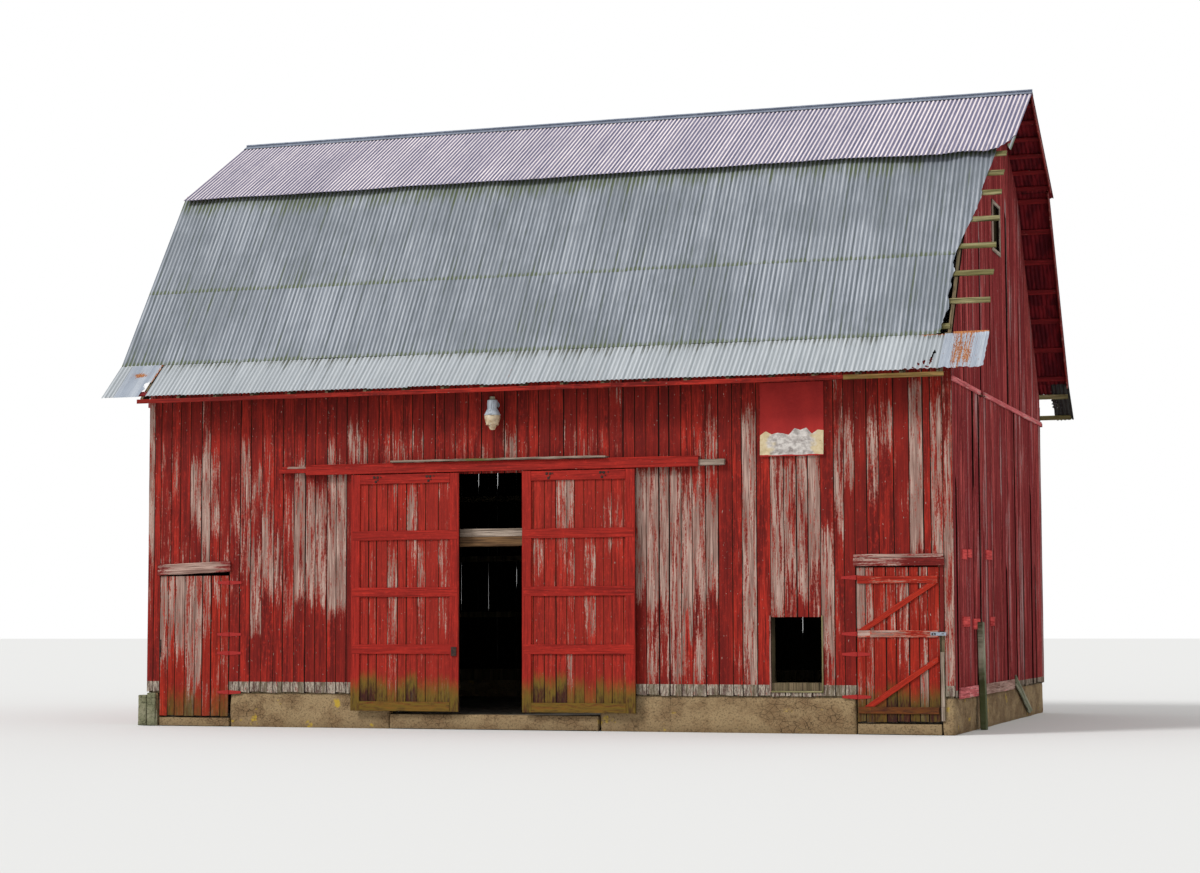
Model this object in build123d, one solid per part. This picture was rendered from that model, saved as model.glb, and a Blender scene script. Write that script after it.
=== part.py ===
from build123d import *
import os
from math import atan, atan2, cos, degrees, hypot, pi, sin, sqrt, tan

# A timber barn with a gambrel roof, in millimetres. X runs along the front wall, Y into the depth
# and Z up. The origin is at ground level in the middle of the walls' outer faces.

# Walls
LENGTH = 12240
WIDTH = 8400
BOARD = 25
BOARD_GAP = 3
BOARDS_FOOT = 500
WALL_TOP = 5140

# Roof outline, on the outer face of the sheets
EAVE_OUT = 469
KICK_IN = 132
BREAK_IN = 2165
EAVE_Z = 4927
KICK_Z = 5465
BREAK_Z = 8446
RIDGE_Z = 9622
OVERHANG_LEFT = 576
OVERHANG_RIGHT = 510
UPPER_SHIFT = 50

# Roof layers
SHEET = 18
SHEET_GAP = 2
NAILER_THICK = 25
NAILER_WIDE = 95
NAILER_SHORT = 30
RAFTER_DEEP = 140
RAFTER_WIDE = 50
RAFTER_BAYS = 20
TAIL_DEEP = 125
TAIL_END_HIGH = 58
UPPER_PAST = 216
LAP_UP = 1468
PURLIN = 150
PURLIN_SEAT = 40
RIDGE_BOARD = 40
RIDGE_BOARD_DEEP = 170
CAP_FLANGE = 120
CAP_THICK = 4
CAP_ROLL = 15
FASCIA_THICK = 20
FASCIA_HIGH = 65
RAKE_THICK = 22
RAKE_DEEP = 90

# Nailer rows, measured up each slope to the middle of the board
STEEP_ROW_FIRST = 155
STEEP_ROW_LOW = 610
STEEP_ROW_PITCH = 513
STEEP_ROWS_LOW = 5
STEEP_ROW_TOP_DOWN = 178
UPPER_ROW_FIRST = 90
UPPER_ROW_TOP_DOWN = 280
UPPER_ROW_PITCH = 390
KICK_ROW_FIRST = 100
KICK_ROW_TOP_DOWN = 222

# Torn edge of the front sheets, measured from the right wall face and up the steep slope
TORN_TOP_OUT = 343
TORN_SHOULDER_OUT = 138
TORN_SHOULDER_DOWN = 1194
TORN_MIDDLE_IN = 98
TORN_FOOT_IN = 72
TORN_NECK_IN = 115
TORN_NECK_UP = 313
TORN_LOWER_FOOT_IN = 180

# Eave course: patch sheets at the ends of the front, and a hole near the back right corner
EAVE_PATCH_LEFT = 736
EAVE_PATCH_RIGHT = 540
EAVE_TURN_GAP = 4
BACK_HOLE_IN = 60
BACK_HOLE_OUT = 210

# Masonry
FOUNDATION = 180
FOUNDATION_SET_IN = 10
FOUNDATION_TOP = 495
FLOOR_TOP = 200
CORNER_BLOCK_OUT = 140
CORNER_BLOCK_PROUD = 30
CORNER_BLOCK_DEEP = 260
CORNER_BLOCK_NOTCH = 30
CORNER_BLOCK_NOTCH_FOOT = 250

# Timber frame
POST = 200
GIRT = 100
TIE = 200
TIE_DROP = 50
DOOR_POST = 150
STUD = 90
GABLE_POST_AT = 1500
PURLIN_POST = 150
GIRT_MIDDLE = 2620
GIRT_OVER_OPENING = 20

# Doorway with two sliding doors
DOORWAY_MIDDLE = 5569
DOORWAY_WIDE = 3200
DOORWAY_HEAD = 3680
THRESHOLD_TOP = 220
THRESHOLD_PROUD = 20
CROSS_BEAM_FOOT = 2632
CROSS_BEAM_HIGH = 138
CROSS_BEAM_DEEP = 130
CROSS_BEAM_IN = 90
CROSS_PLANK_HIGH = 118
CROSS_PLANK_THICK = 35
SLIDER_WIDE = 1694
SLIDER_FOOT = 258
SLIDER_OVER_HEAD = 14
SLIDER_APART = 972
SLIDER_OFF_WALL = 55
SLIDER_BOARD = 25
RAIL_THICK = 22
RAIL_HIGH = 140
STILE_WIDE = 140
RAILS = 5
JOINT_GAP = 0.5

# Track, its cover and the door hangers
TRACK_OVER_DOOR = 18
TRACK_HIGH = 40
TRACK_THICK = 6
TRACK_MIDDLE_OUT = 37
TRACK_PAST_LEFT = 71
TRACK_PAST_RIGHT = 192
TRACK_SPACER = 18
TRACK_SPACERS = 9
WHEEL_R = 38
WHEEL_GROOVE = 6
WHEEL_WIDE = 20
WHEEL_SLOT = 8
WHEEL_LIFT = 0.3
AXLE_R = 7
STRAP_THICK = 6
STRAP_WIDE = 50
STRAP_DOWN = 230
HANGERS_AT = (425, 1260)
HANGER_BOLT_R = 11
BOLT_SIDES = 6
HANGER_BOLT_HIGH = 8
HANGER_BOLT_DROP = 40
HANGER_BOLT_APART = 45
COVER_OUT = 75
COVER_THICK = 25
COVER_OVER_DOOR = 14
COVER_HIGH = 134
COVER_ROOF = 16
COVER_SHORT_LEFT = 449
COVER_SHORT_RIGHT = 374
STUB_IN = 12
STUB_LEFT = (36, 134)
STUB_RIGHT = (12, 100)
STRIP_LEFT = 4030
STRIP_RIGHT = 7330
STRIP_HIGH = 35
STRIP_OUT = 50
LATCH_WIDE = 80
LATCH_HIGH = 130
LATCH_THICK = 14
LATCH_Z = 1055

# Side doors
LEFT_DOOR_EDGE = 212
LEFT_DOOR_PIN = 1365
LEFT_DOOR_FOOT = 150
LEFT_DOOR_TOP = 2240
LEFT_SILL_TOP = 138
RIGHT_DOOR_EDGE = 206
RIGHT_DOOR_PIN = 1351
RIGHT_DOOR_FOOT = 168
RIGHT_DOOR_TOP = 2272
RIGHT_SILL_TOP = 156
DOOR_BOARD = 20
DOOR_SIDE_GAP = 6
RIGHT_DOOR_GAP = 70
LEFT_HEAD_GAP = 60
RIGHT_HEAD_GAP = 30
BATTEN_THICK = 22
BATTEN_PIN_GAP = 22
BATTEN_EDGE_GAP = 20
RIGHT_BATTENS = ((285, 380), (1319, 1414), (2052, 2152))
LEFT_BATTENS = ((290, 430), (1180, 1320), (2040, 2180))
BRACE_WIDE = 139
BRACE_END_GAP = 2
LOW_BRACE_IN = 106
LOW_BRACE_TOP = 1073
LOW_BRACE_END = 88
STRAP_HINGES = (2136, 1367, 1090, 510)
HINGE_LEAF = 192
HINGE_WALL_LEAF = 205
HINGE_THICK = 5
HINGE_ROOT = 62
HINGE_TIP = 34
PIN_R = 4
PIN_FIT = 0.05
KNUCKLE_R = 8
KNUCKLE_SIDES = 12
PIN_OUT = 9
KNUCKLE_HIGH = 20
KNUCKLE_GAP = 0.5
LEAF_PIN_GAP = 10
HASP_LONG = 215
HASP_HIGH = 46
HASP_THICK = 5
HASP_SLOT_LONG = 34
HASP_SLOT_HIGH = 14
HASP_PAST = 95
HEADER_THICK = 30
LEFT_HEADER_LOW = 2250
LEFT_HEADER_HIGH = 165
LEFT_HEADER_TILT = 48
RIGHT_HEADER_LOW = 2290
RIGHT_HEADER_HIGH = 165
HEADER_SIDE = 30
RIGHT_HEADER_PAST = 76
JAMB_STRIP_WIDE = 56
JAMB_STRIP_THICK = 20
JAMB_STRIP_FOOT = 194
JAMB_STRIP_TOP = 1123
JAMB_STRIP_SPLIT = 379
JAMB_STRIP_GAP = 8

# Small opening, from the right corner
HATCH_EDGE = 1838
HATCH_WIDE = 714
HATCH_FOOT = 586
HATCH_TOP = 1598
HATCH_TRIM = 22
HATCH_TRIM_THICK = 15

# Gable window, measured from the barn's middle line
WINDOW_MIDDLE = -230
WINDOW_WIDE = 620
WINDOW_FOOT = 7165
WINDOW_HIGH = 665
WINDOW_TRIM = 60
WINDOW_TRIM_THICK = 20

# Gable belts
BELT_DROP = 145
BELT_HIGH = 78
BELT_THICK = 28
BELT_BREAK_FROM = 2260
BELT_BREAK_TO = 2610

# Wall pieces on the front and at the right gable
PATCH_PAST_TRACK = 501
PATCH_WIDE = 902
PATCH_FOOT = 3825
PATCH_SPLIT = 4245
PATCH_TOP = 4850
PATCH_THICK = 10
PATCH_PEEL_THICK = 32
FOOT_PLANK_FROM = 250
FOOT_PLANK_TO = 5060
FOOT_PLANK_LOW = 480
FOOT_PLANK_HIGH = 155
FOOT_PLANK_THICK = 24
LOOSE_POST_AT = 1750
LOOSE_POST = 90
LOOSE_POST_DEEP = 150
LOOSE_POST_LEAN = 30
LOOSE_POST_GAP = 20
LOOSE_POST_TOP = 1527
LOOSE_BOARD_AT = 5200
LOOSE_BOARD_THICK = 25
LOOSE_BOARD_TOP = 700
LOOSE_BOARD_END_HIGH = 190
LOOSE_BOARD_REACH = 1250
LOOSE_BOARD_FOOT_WIDE = 700

# Barn lamp over the doorway
LAMP_PAST_MIDDLE = 58
LAMP_SIDES = 32
LAMP_OUT = 160
LAMP_CAP_TOP = 4779
LAMP_CAP_R = 39
LAMP_CAP_HIGH = 51
LAMP_BODY_R = 74
LAMP_BODY_HIGH = 123
LAMP_SHADE_R = 121
LAMP_SHADE_HIGH = 100
LAMP_LENS_R = 115
LAMP_LENS_HIGH = 143
LAMP_LENS_FOOT_R = 93
LAMP_TIP_TOP_R = 59
LAMP_TIP_R = 30
LAMP_TIP_HIGH = 69
LAMP_ARM_R = 16
LAMP_PLATE_R = 50
LAMP_PLATE_THICK = 12

# Places that follow from the sizes
LEFT = -LENGTH / 2
RIGHT = LENGTH / 2
FRONT = -WIDTH / 2
BACK = WIDTH / 2
FRAME_LEFT = LEFT + BOARD
FRAME_RIGHT = RIGHT - BOARD
FRAME_FRONT = FRONT + BOARD
PLATE_FOOT = WALL_TOP - POST
TIE_TOP = PLATE_FOOT - TIE_DROP
BELT_FOOT = PLATE_FOOT - BELT_DROP
BELT_JOINT = BELT_FOOT + BELT_HIGH / 2
SILL_TOP = FOUNDATION_TOP + POST
DOORWAY_X = LEFT + DOORWAY_MIDDLE
JAMB_LEFT = DOORWAY_X - DOORWAY_WIDE / 2
JAMB_RIGHT = DOORWAY_X + DOORWAY_WIDE / 2
LEFT_PIN_X = LEFT + LEFT_DOOR_PIN
RIGHT_PIN_X = RIGHT - RIGHT_DOOR_PIN
PIN_Y = FRONT - PIN_OUT
HATCH_RIGHT = RIGHT - HATCH_EDGE
HATCH_LEFT = HATCH_RIGHT - HATCH_WIDE
GIRT_ROWS = (HATCH_TOP + GIRT_OVER_OPENING, GIRT_MIDDLE, DOORWAY_HEAD + GIRT_OVER_OPENING)
SLIDER_TOP = DOORWAY_HEAD + SLIDER_OVER_HEAD
TRACK_FOOT = SLIDER_TOP + TRACK_OVER_DOOR
TRACK_LEFT = JAMB_LEFT - SLIDER_WIDE - TRACK_PAST_LEFT
TRACK_RIGHT = JAMB_RIGHT + SLIDER_WIDE + TRACK_PAST_RIGHT
COVER_FOOT = SLIDER_TOP + COVER_OVER_DOOR
COVER_LEFT = TRACK_LEFT + COVER_SHORT_LEFT
COVER_RIGHT = TRACK_RIGHT - COVER_SHORT_RIGHT
WINDOW_LEFT = WINDOW_MIDDLE - WINDOW_WIDE / 2
WINDOW_RIGHT = WINDOW_MIDDLE + WINDOW_WIDE / 2
WINDOW_TOP = WINDOW_FOOT + WINDOW_HIGH
BENT_HALF = POST / 2
BENTS = [FRAME_LEFT + BENT_HALF, JAMB_LEFT - BENT_HALF, JAMB_RIGHT + BENT_HALF, HATCH_LEFT - BENT_HALF,
         FRAME_RIGHT - BENT_HALF]

# Corners of the roof outline on the front side, as (y, z)
EAVE = (FRONT - EAVE_OUT, EAVE_Z)
KICK = (FRONT + KICK_IN, KICK_Z)
BREAK = (FRONT + BREAK_IN, BREAK_Z)
RIDGE = (0, RIDGE_Z)
UNDER_SHEET = SHEET
UNDER_NAILER = SHEET + NAILER_THICK
UNDER_RAFTER = UNDER_NAILER + RAFTER_DEEP
UNDER_TAIL = UNDER_NAILER + TAIL_DEEP


class Slope:
    """One straight stretch of the front roof outline, from its lower to its upper corner."""

    def __init__(self, low, high):
        self.low = low
        self.long = hypot(high[0] - low[0], high[1] - low[1])
        self.angle = atan2(high[1] - low[1], high[0] - low[0])

    def at(self, up, deep):
        """The (y, z) place a length up the slope and a depth in from the sheets' outer face."""
        y = self.low[0] + up * cos(self.angle) + deep * sin(self.angle)
        z = self.low[1] + up * sin(self.angle) - deep * cos(self.angle)
        return (y, z)

    def height(self, y, deep):
        """Height of the face that lies a depth in, above the place y."""
        return self.low[1] + (y - self.low[0]) * tan(self.angle) - deep / cos(self.angle)

    def across(self, z, deep):
        """Place y at which the face that lies a depth in reaches the height z."""
        return self.low[0] + (z - self.low[1] + deep / cos(self.angle)) / tan(self.angle)

    def slab(self, outline, deep, thick):
        """A flat piece in the slope, from an outline of (x, length up the slope) points."""
        corners = [(x, *self.at(up, deep)) for x, up in outline]
        face = make_face(Polyline(*corners, close=True))
        return extrude(face, amount=thick, dir=(0, sin(self.angle), -cos(self.angle)))

    def strip(self, x0, x1, up0, up1, deep, thick):
        return self.slab([(x0, up0), (x1, up0), (x1, up1), (x0, up1)], deep, thick)


KICK_SLOPE = Slope(EAVE, KICK)
STEEP_SLOPE = Slope(KICK, BREAK)
UPPER_SLOPE = Slope(BREAK, RIDGE)
BREAK_TURN = STEEP_SLOPE.angle - UPPER_SLOPE.angle
BOARDS_TOP = KICK_SLOPE.height(FRONT, UNDER_TAIL) - BOARD_GAP


def break_corner(deep, short=0):
    """Where the two upper slopes' layers at one depth meet, or a bit short of it on the steep side."""
    return STEEP_SLOPE.at(STEEP_SLOPE.long - deep * tan(BREAK_TURN / 2) - short, deep)


def block(x0, x1, y0, y1, z0, z1):
    return Pos(x0, y0, z0) * Box(x1 - x0, y1 - y0, z1 - z0, align=(Align.MIN, Align.MIN, Align.MIN))


def along_x(outline, x0, x1):
    """A piece with the given (y, z) outline, from x0 to x1."""
    face = make_face(Polyline(*[(x0, y, z) for y, z in outline], close=True))
    return extrude(face, amount=x1 - x0, dir=(1, 0, 0))


def along_y(outline, y0, y1):
    """A piece with the given (x, z) outline, from y0 to y1."""
    face = make_face(Polyline(*[(x, y0, z) for x, z in outline], close=True))
    return extrude(face, amount=y1 - y0, dir=(0, 1, 0))


def other_side(solids):
    """The same pieces on the back half of the barn."""
    return [mirror(solid, about=Plane.XZ) for solid in solids]


def other_end(solids):
    """The same pieces on the left half of the barn."""
    return [mirror(solid, about=Plane.YZ) for solid in solids]


def save(name, solids):
    shape = solids[0] if len(solids) == 1 else Compound(children=list(solids))
    export_step(shape, "parts/" + name + ".step")


# Masonry

def foundations():
    out = FRONT + FOUNDATION_SET_IN
    left = LEFT + FOUNDATION_SET_IN
    right = RIGHT - FOUNDATION_SET_IN
    inner_left = left + FOUNDATION + JOINT_GAP
    inner_right = right - FOUNDATION - JOINT_GAP
    walls = [block(left, left + FOUNDATION, out, -out, 0, FOUNDATION_TOP),
             block(right - FOUNDATION, right, out, -out, 0, FOUNDATION_TOP),
             block(inner_left, inner_right, -out - FOUNDATION, -out, 0, FOUNDATION_TOP)]
    for x0, x1 in ((LEFT_PIN_X + DOOR_SIDE_GAP, JAMB_LEFT), (JAMB_RIGHT, RIGHT_PIN_X - DOOR_SIDE_GAP)):
        walls.append(block(x0, x1, out, out + FOUNDATION, 0, FOUNDATION_TOP))
    save("foundation_walls", walls)
    sills = [block(left + FOUNDATION, LEFT_PIN_X + DOOR_SIDE_GAP, out, out + FOUNDATION, 0, LEFT_SILL_TOP),
             block(JAMB_LEFT, JAMB_RIGHT, out - THRESHOLD_PROUD, out + FOUNDATION, 0, THRESHOLD_TOP),
             block(RIGHT_PIN_X - DOOR_SIDE_GAP, right - FOUNDATION, out, out + FOUNDATION, 0, RIGHT_SILL_TOP)]
    save("door_sills", sills)
    inner = out + FOUNDATION
    save("barn_floor", [block(left + FOUNDATION, right - FOUNDATION, inner, -inner, 0, FLOOR_TOP)])


def corner_block():
    """The squared block that stands proud at the foot of the front left corner."""
    x0 = LEFT - CORNER_BLOCK_OUT
    x1 = LEFT + FOUNDATION_SET_IN
    x3 = x1 + FOUNDATION
    x2 = x3 - CORNER_BLOCK_NOTCH
    y0 = FRONT - CORNER_BLOCK_PROUD
    y1 = FRONT + FOUNDATION_SET_IN
    pieces = [block(x0, x1, y0, FRONT + CORNER_BLOCK_DEEP, 0, BOARDS_FOOT),
              block(x1 + JOINT_GAP, x2, y0, y1, 0, BOARDS_FOOT),
              block(x2 + JOINT_GAP, x3, y0, y1, 0, CORNER_BLOCK_NOTCH_FOOT)]
    save("corner_block", pieces)


# Timber frame

def sill_beams():
    inner_left = FRAME_LEFT + POST
    beams = [block(FRAME_LEFT, inner_left, FRAME_FRONT, -FRAME_FRONT, FOUNDATION_TOP, SILL_TOP),
             block(-inner_left, FRAME_RIGHT, FRAME_FRONT, -FRAME_FRONT, FOUNDATION_TOP, SILL_TOP),
             block(LEFT_PIN_X + DOOR_SIDE_GAP, JAMB_LEFT, FRAME_FRONT, FRAME_FRONT + POST,
                   FOUNDATION_TOP, SILL_TOP),
             block(JAMB_RIGHT, RIGHT_PIN_X - DOOR_SIDE_GAP, FRAME_FRONT, FRAME_FRONT + POST,
                   FOUNDATION_TOP, SILL_TOP),
             block(inner_left + JOINT_GAP, -inner_left - JOINT_GAP, -FRAME_FRONT - POST, -FRAME_FRONT,
                   FOUNDATION_TOP, SILL_TOP)]
    save("sill_beams", beams)


def posts():
    tall = []
    for x in BENTS:
        for y0 in (FRAME_FRONT, -FRAME_FRONT - POST):
            tall.append(block(x - BENT_HALF, x + BENT_HALF, y0, y0 + POST, SILL_TOP, PLATE_FOOT))
    for x0 in (FRAME_LEFT, FRAME_RIGHT - POST):
        for y in (-GABLE_POST_AT, GABLE_POST_AT):
            tall.append(block(x0, x0 + POST, y - BENT_HALF, y + BENT_HALF, SILL_TOP, TIE_TOP - TIE))
    for x0 in (LEFT_PIN_X + DOOR_SIDE_GAP, RIGHT_PIN_X - DOOR_SIDE_GAP - DOOR_POST):
        tall.append(block(x0, x0 + DOOR_POST, FRAME_FRONT, FRAME_FRONT + DOOR_POST, SILL_TOP, GIRT_ROWS[1]))
    save("posts", tall)


def plates_and_ties():
    plates = [block(FRAME_LEFT, FRAME_RIGHT, FRAME_FRONT, FRAME_FRONT + POST, PLATE_FOOT, WALL_TOP)]
    save("wall_plates", plates + other_side(plates))
    inner = FRAME_FRONT + POST
    ties = [block(x - BENT_HALF, x + BENT_HALF, inner, -inner, TIE_TOP - TIE, TIE_TOP) for x in BENTS]
    save("tie_beams", ties)


def girts():
    """Level rails between the posts, that the wall boards are nailed to."""
    rails = []
    edges = [x + side * BENT_HALF for x in BENTS for side in (-1, 1)][1:-1]
    bays = list(zip(edges[0::2], edges[1::2]))
    door_post_left = LEFT_PIN_X + DOOR_SIDE_GAP + DOOR_POST
    door_post_right = RIGHT_PIN_X - DOOR_SIDE_GAP - DOOR_POST
    for row, z in enumerate(GIRT_ROWS):
        for bay, (x0, x1) in enumerate(bays):
            back_y = -FRAME_FRONT - GIRT
            rails.append(block(x0, x1, back_y, -FRAME_FRONT, z, z + GIRT))
            if row == 0 and bay == 0:
                x0 = door_post_left
            if row == 0 and bay == len(bays) - 1:
                x1 = door_post_right
            if bay == 1 and row < 2:
                continue
            rails.append(block(x0, x1, FRAME_FRONT, FRAME_FRONT + GIRT, z, z + GIRT))
        inner = FRAME_FRONT + POST
        spans = ((inner, -GABLE_POST_AT - BENT_HALF), (-GABLE_POST_AT + BENT_HALF, GABLE_POST_AT - BENT_HALF),
                 (GABLE_POST_AT + BENT_HALF, -inner))
        for y0, y1 in spans:
            rails.append(block(FRAME_LEFT, FRAME_LEFT + GIRT, y0, y1, z, z + GIRT))
            rails.append(block(FRAME_RIGHT - GIRT, FRAME_RIGHT, y0, y1, z, z + GIRT))
    save("wall_girts", rails)


def doorway_cross_beam():
    """The beam and the plank on it that cross the doorway inside, above head height."""
    y0 = FRONT + CROSS_BEAM_IN
    top = CROSS_BEAM_FOOT + CROSS_BEAM_HIGH
    beam = block(JAMB_LEFT, JAMB_RIGHT, y0, y0 + CROSS_BEAM_DEEP, CROSS_BEAM_FOOT, top)
    foot = top + JOINT_GAP
    plank = block(JAMB_LEFT, JAMB_RIGHT, y0, y0 + CROSS_PLANK_THICK, foot, foot + CROSS_PLANK_HIGH)
    save("doorway_beam", [beam, plank])


def rafter_places():
    first = FRAME_LEFT
    step = (FRAME_RIGHT - FRAME_LEFT - RAFTER_WIDE) / RAFTER_BAYS
    return [first + i * step for i in range(RAFTER_BAYS + 1)]


def purlin_top():
    return UPPER_SLOPE.height(BREAK[0], UNDER_RAFTER) + PURLIN_SEAT


def rafters():
    """Lower rafters seated on the plates, upper ones on the purlins and against the ridge board."""
    low = [(STEEP_SLOPE.across(WALL_TOP, UNDER_NAILER), WALL_TOP),
           (STEEP_SLOPE.across(WALL_TOP, UNDER_RAFTER), WALL_TOP),
           (BREAK[0], STEEP_SLOPE.height(BREAK[0], UNDER_RAFTER)),
           (BREAK[0], STEEP_SLOPE.height(BREAK[0], UNDER_NAILER))]
    seat_end = UPPER_SLOPE.across(purlin_top(), UNDER_RAFTER)
    head = -RIDGE_BOARD / 2
    high = [(BREAK[0], purlin_top()),
            (seat_end, purlin_top()),
            (head, UPPER_SLOPE.height(head, UNDER_RAFTER)),
            (head, UPPER_SLOPE.height(head, UNDER_NAILER)),
            (BREAK[0], UPPER_SLOPE.height(BREAK[0], UNDER_NAILER))]
    lower = [along_x(low, x, x + RAFTER_WIDE) for x in rafter_places()]
    upper = [along_x(high, x, x + RAFTER_WIDE) for x in rafter_places()]
    save("lower_rafters", lower + other_side(lower))
    save("upper_rafters", upper + other_side(upper))


def rafter_tails():
    """Short pieces beside the rafters' feet that flare the eaves."""
    plumb = EAVE[0] + SHEET + FASCIA_THICK
    inside = FRAME_FRONT + POST
    level = KICK_SLOPE.height(plumb, UNDER_NAILER) - TAIL_END_HIGH
    outline = [(plumb, KICK_SLOPE.height(plumb, UNDER_NAILER)),
               (plumb, level),
               (KICK_SLOPE.across(level, UNDER_TAIL), level),
               (inside, KICK_SLOPE.height(inside, UNDER_TAIL)),
               (inside, KICK_SLOPE.height(inside, UNDER_NAILER))]
    tails = []
    for i, x in enumerate(rafter_places()):
        x0 = x + RAFTER_WIDE if i < RAFTER_BAYS else x - RAFTER_WIDE
        tails.append(along_x(outline, x0, x0 + RAFTER_WIDE))
    save("rafter_tails", tails + other_side(tails))


def purlins():
    top = purlin_top()
    foot = top - PURLIN
    beams = [block(FRAME_LEFT, FRAME_RIGHT, BREAK[0], BREAK[0] + PURLIN, foot, top)]
    stands = [block(x - PURLIN_POST / 2, x + PURLIN_POST / 2, BREAK[0], BREAK[0] + PURLIN_POST, TIE_TOP, foot)
              for x in BENTS]
    head = -RIDGE_BOARD / 2
    ridge_top = UPPER_SLOPE.height(head, UNDER_NAILER)
    ridge = block(FRAME_LEFT, FRAME_RIGHT, head, -head, ridge_top - RIDGE_BOARD_DEEP, ridge_top)
    save("purlins", beams + other_side(beams) + [ridge])
    save("purlin_posts", stands + other_side(stands))


def gable_studs():
    """Studs at the sides of each gable window, from the end tie beam up to the rafters."""
    studs = []
    for y0 in (WINDOW_LEFT - WINDOW_TRIM - STUD, WINDOW_RIGHT + WINDOW_TRIM):
        y_out = min(y0, -(y0 + STUD))
        top = UPPER_SLOPE.height(y_out, UNDER_RAFTER)
        studs.append(block(FRAME_RIGHT - STUD, FRAME_RIGHT, y0, y0 + STUD, TIE_TOP, top))
    save("gable_studs", studs + other_end(studs))


# Roof

def front_steep_rows():
    rows = [STEEP_ROW_FIRST]
    rows += [STEEP_ROW_LOW + i * STEEP_ROW_PITCH for i in range(STEEP_ROWS_LOW)]
    top = STEEP_SLOPE.long - STEEP_ROW_TOP_DOWN
    return rows + [(rows[-1] + top) / 2, top]


def even_rows(slope, first, top_down, pitch):
    """Rows from the first one to the top one, as near to the pitch as an even spacing comes."""
    reach = slope.long - top_down - first
    count = round(reach / pitch)
    return [first + i * reach / count for i in range(count + 1)]


def nailer_run(slope, rows, shift=0):
    x0 = LEFT - OVERHANG_LEFT + NAILER_SHORT + shift
    x1 = RIGHT + OVERHANG_RIGHT - NAILER_SHORT + shift
    half = NAILER_WIDE / 2
    return [slope.strip(x0, x1, up - half, up + half, UNDER_SHEET, NAILER_THICK) for up in rows]


def nailers():
    """Boards across the rafters, run out past both gables to carry the sheets."""
    steep = nailer_run(STEEP_SLOPE, front_steep_rows())
    rows = even_rows(STEEP_SLOPE, STEEP_ROW_FIRST, STEEP_ROW_TOP_DOWN, STEEP_ROW_PITCH)
    save("steep_nailers", steep + other_side(nailer_run(STEEP_SLOPE, rows)))
    rows = even_rows(UPPER_SLOPE, UPPER_ROW_FIRST, UPPER_ROW_TOP_DOWN, UPPER_ROW_PITCH)
    upper = nailer_run(UPPER_SLOPE, rows, UPPER_SHIFT)
    save("upper_nailers", upper + other_side(upper))
    eave = nailer_run(KICK_SLOPE, (KICK_ROW_FIRST, KICK_SLOPE.long - KICK_ROW_TOP_DOWN))
    save("eave_nailers", eave + other_side(eave))


def steep_sheet_top():
    """The steep sheets stop where the upper course comes down over them."""
    return STEEP_SLOPE.long - (SHEET + JOINT_GAP) / sin(BREAK_TURN)


def upper_sheets():
    x0 = LEFT - OVERHANG_LEFT + UPPER_SHIFT
    x1 = RIGHT + OVERHANG_RIGHT + UPPER_SHIFT
    top = UPPER_SLOPE.long - SHEET * tan(UPPER_SLOPE.angle) - JOINT_GAP
    front = [UPPER_SLOPE.strip(x0, x1, -UPPER_PAST, top, 0, SHEET)]
    save("upper_sheets", front + other_side(front))


def steep_sheets():
    """Two courses on each side; at the front the right end is torn back to the wall."""
    x0 = LEFT - OVERHANG_LEFT
    x1 = RIGHT + OVERHANG_RIGHT
    top = steep_sheet_top()
    low = [(x0, 0), (RIGHT - TORN_LOWER_FOOT_IN, 0), (RIGHT - TORN_NECK_IN, TORN_NECK_UP),
           (RIGHT - TORN_FOOT_IN, LAP_UP - SHEET_GAP), (x0, LAP_UP - SHEET_GAP)]
    high = [(x0, LAP_UP), (RIGHT - TORN_MIDDLE_IN, LAP_UP), (RIGHT + TORN_SHOULDER_OUT, top - TORN_SHOULDER_DOWN),
            (RIGHT + TORN_TOP_OUT, top), (x0, top)]
    torn = [STEEP_SLOPE.slab(low, 0, SHEET), STEEP_SLOPE.slab(high, 0, SHEET)]
    whole = [STEEP_SLOPE.strip(x0, x1, 0, LAP_UP - SHEET_GAP, 0, SHEET),
             STEEP_SLOPE.strip(x0, x1, LAP_UP, top, 0, SHEET)]
    save("steep_sheets", torn + other_side(whole))


def eave_sheets():
    """The flared bottom course, with a patch sheet at each end of the front and a broken back corner."""
    x0 = LEFT - OVERHANG_LEFT
    x1 = RIGHT + OVERHANG_RIGHT
    top = KICK_SLOPE.long - EAVE_TURN_GAP
    split_left = x0 + EAVE_PATCH_LEFT
    split_right = x1 - EAVE_PATCH_RIGHT
    front = KICK_SLOPE.strip(split_left + SHEET_GAP, split_right - SHEET_GAP, 0, top, 0, SHEET)
    patches = [KICK_SLOPE.strip(x0, split_left, 0, top, 0, SHEET),
               KICK_SLOPE.strip(split_right, x1, 0, top, 0, SHEET)]
    save("eave_patch_sheets", patches)
    back = [KICK_SLOPE.strip(x0, RIGHT - BACK_HOLE_IN, 0, top, 0, SHEET),
            KICK_SLOPE.strip(RIGHT + BACK_HOLE_OUT, x1, 0, top, 0, SHEET)]
    save("eave_sheets", [front] + other_side(back))


def ridge_cap():
    """A flashing on each side and a round roll along the top."""
    x0 = LEFT - OVERHANG_LEFT + UPPER_SHIFT
    x1 = RIGHT + OVERHANG_RIGHT + UPPER_SHIFT
    top = UPPER_SLOPE.long - JOINT_GAP
    flange = [UPPER_SLOPE.strip(x0, x1, top - CAP_FLANGE, top, -CAP_THICK, CAP_THICK)]
    edge_y, edge_z = UPPER_SLOPE.at(top, -CAP_THICK)
    roll_z = edge_z + sqrt((CAP_ROLL + JOINT_GAP) ** 2 - edge_y ** 2)
    roll = Pos((x0 + x1) / 2, 0, roll_z) * Rot(0, 90, 0) * Cylinder(CAP_ROLL, x1 - x0)
    save("ridge_cap", flange + other_side(flange) + [roll])


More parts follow.
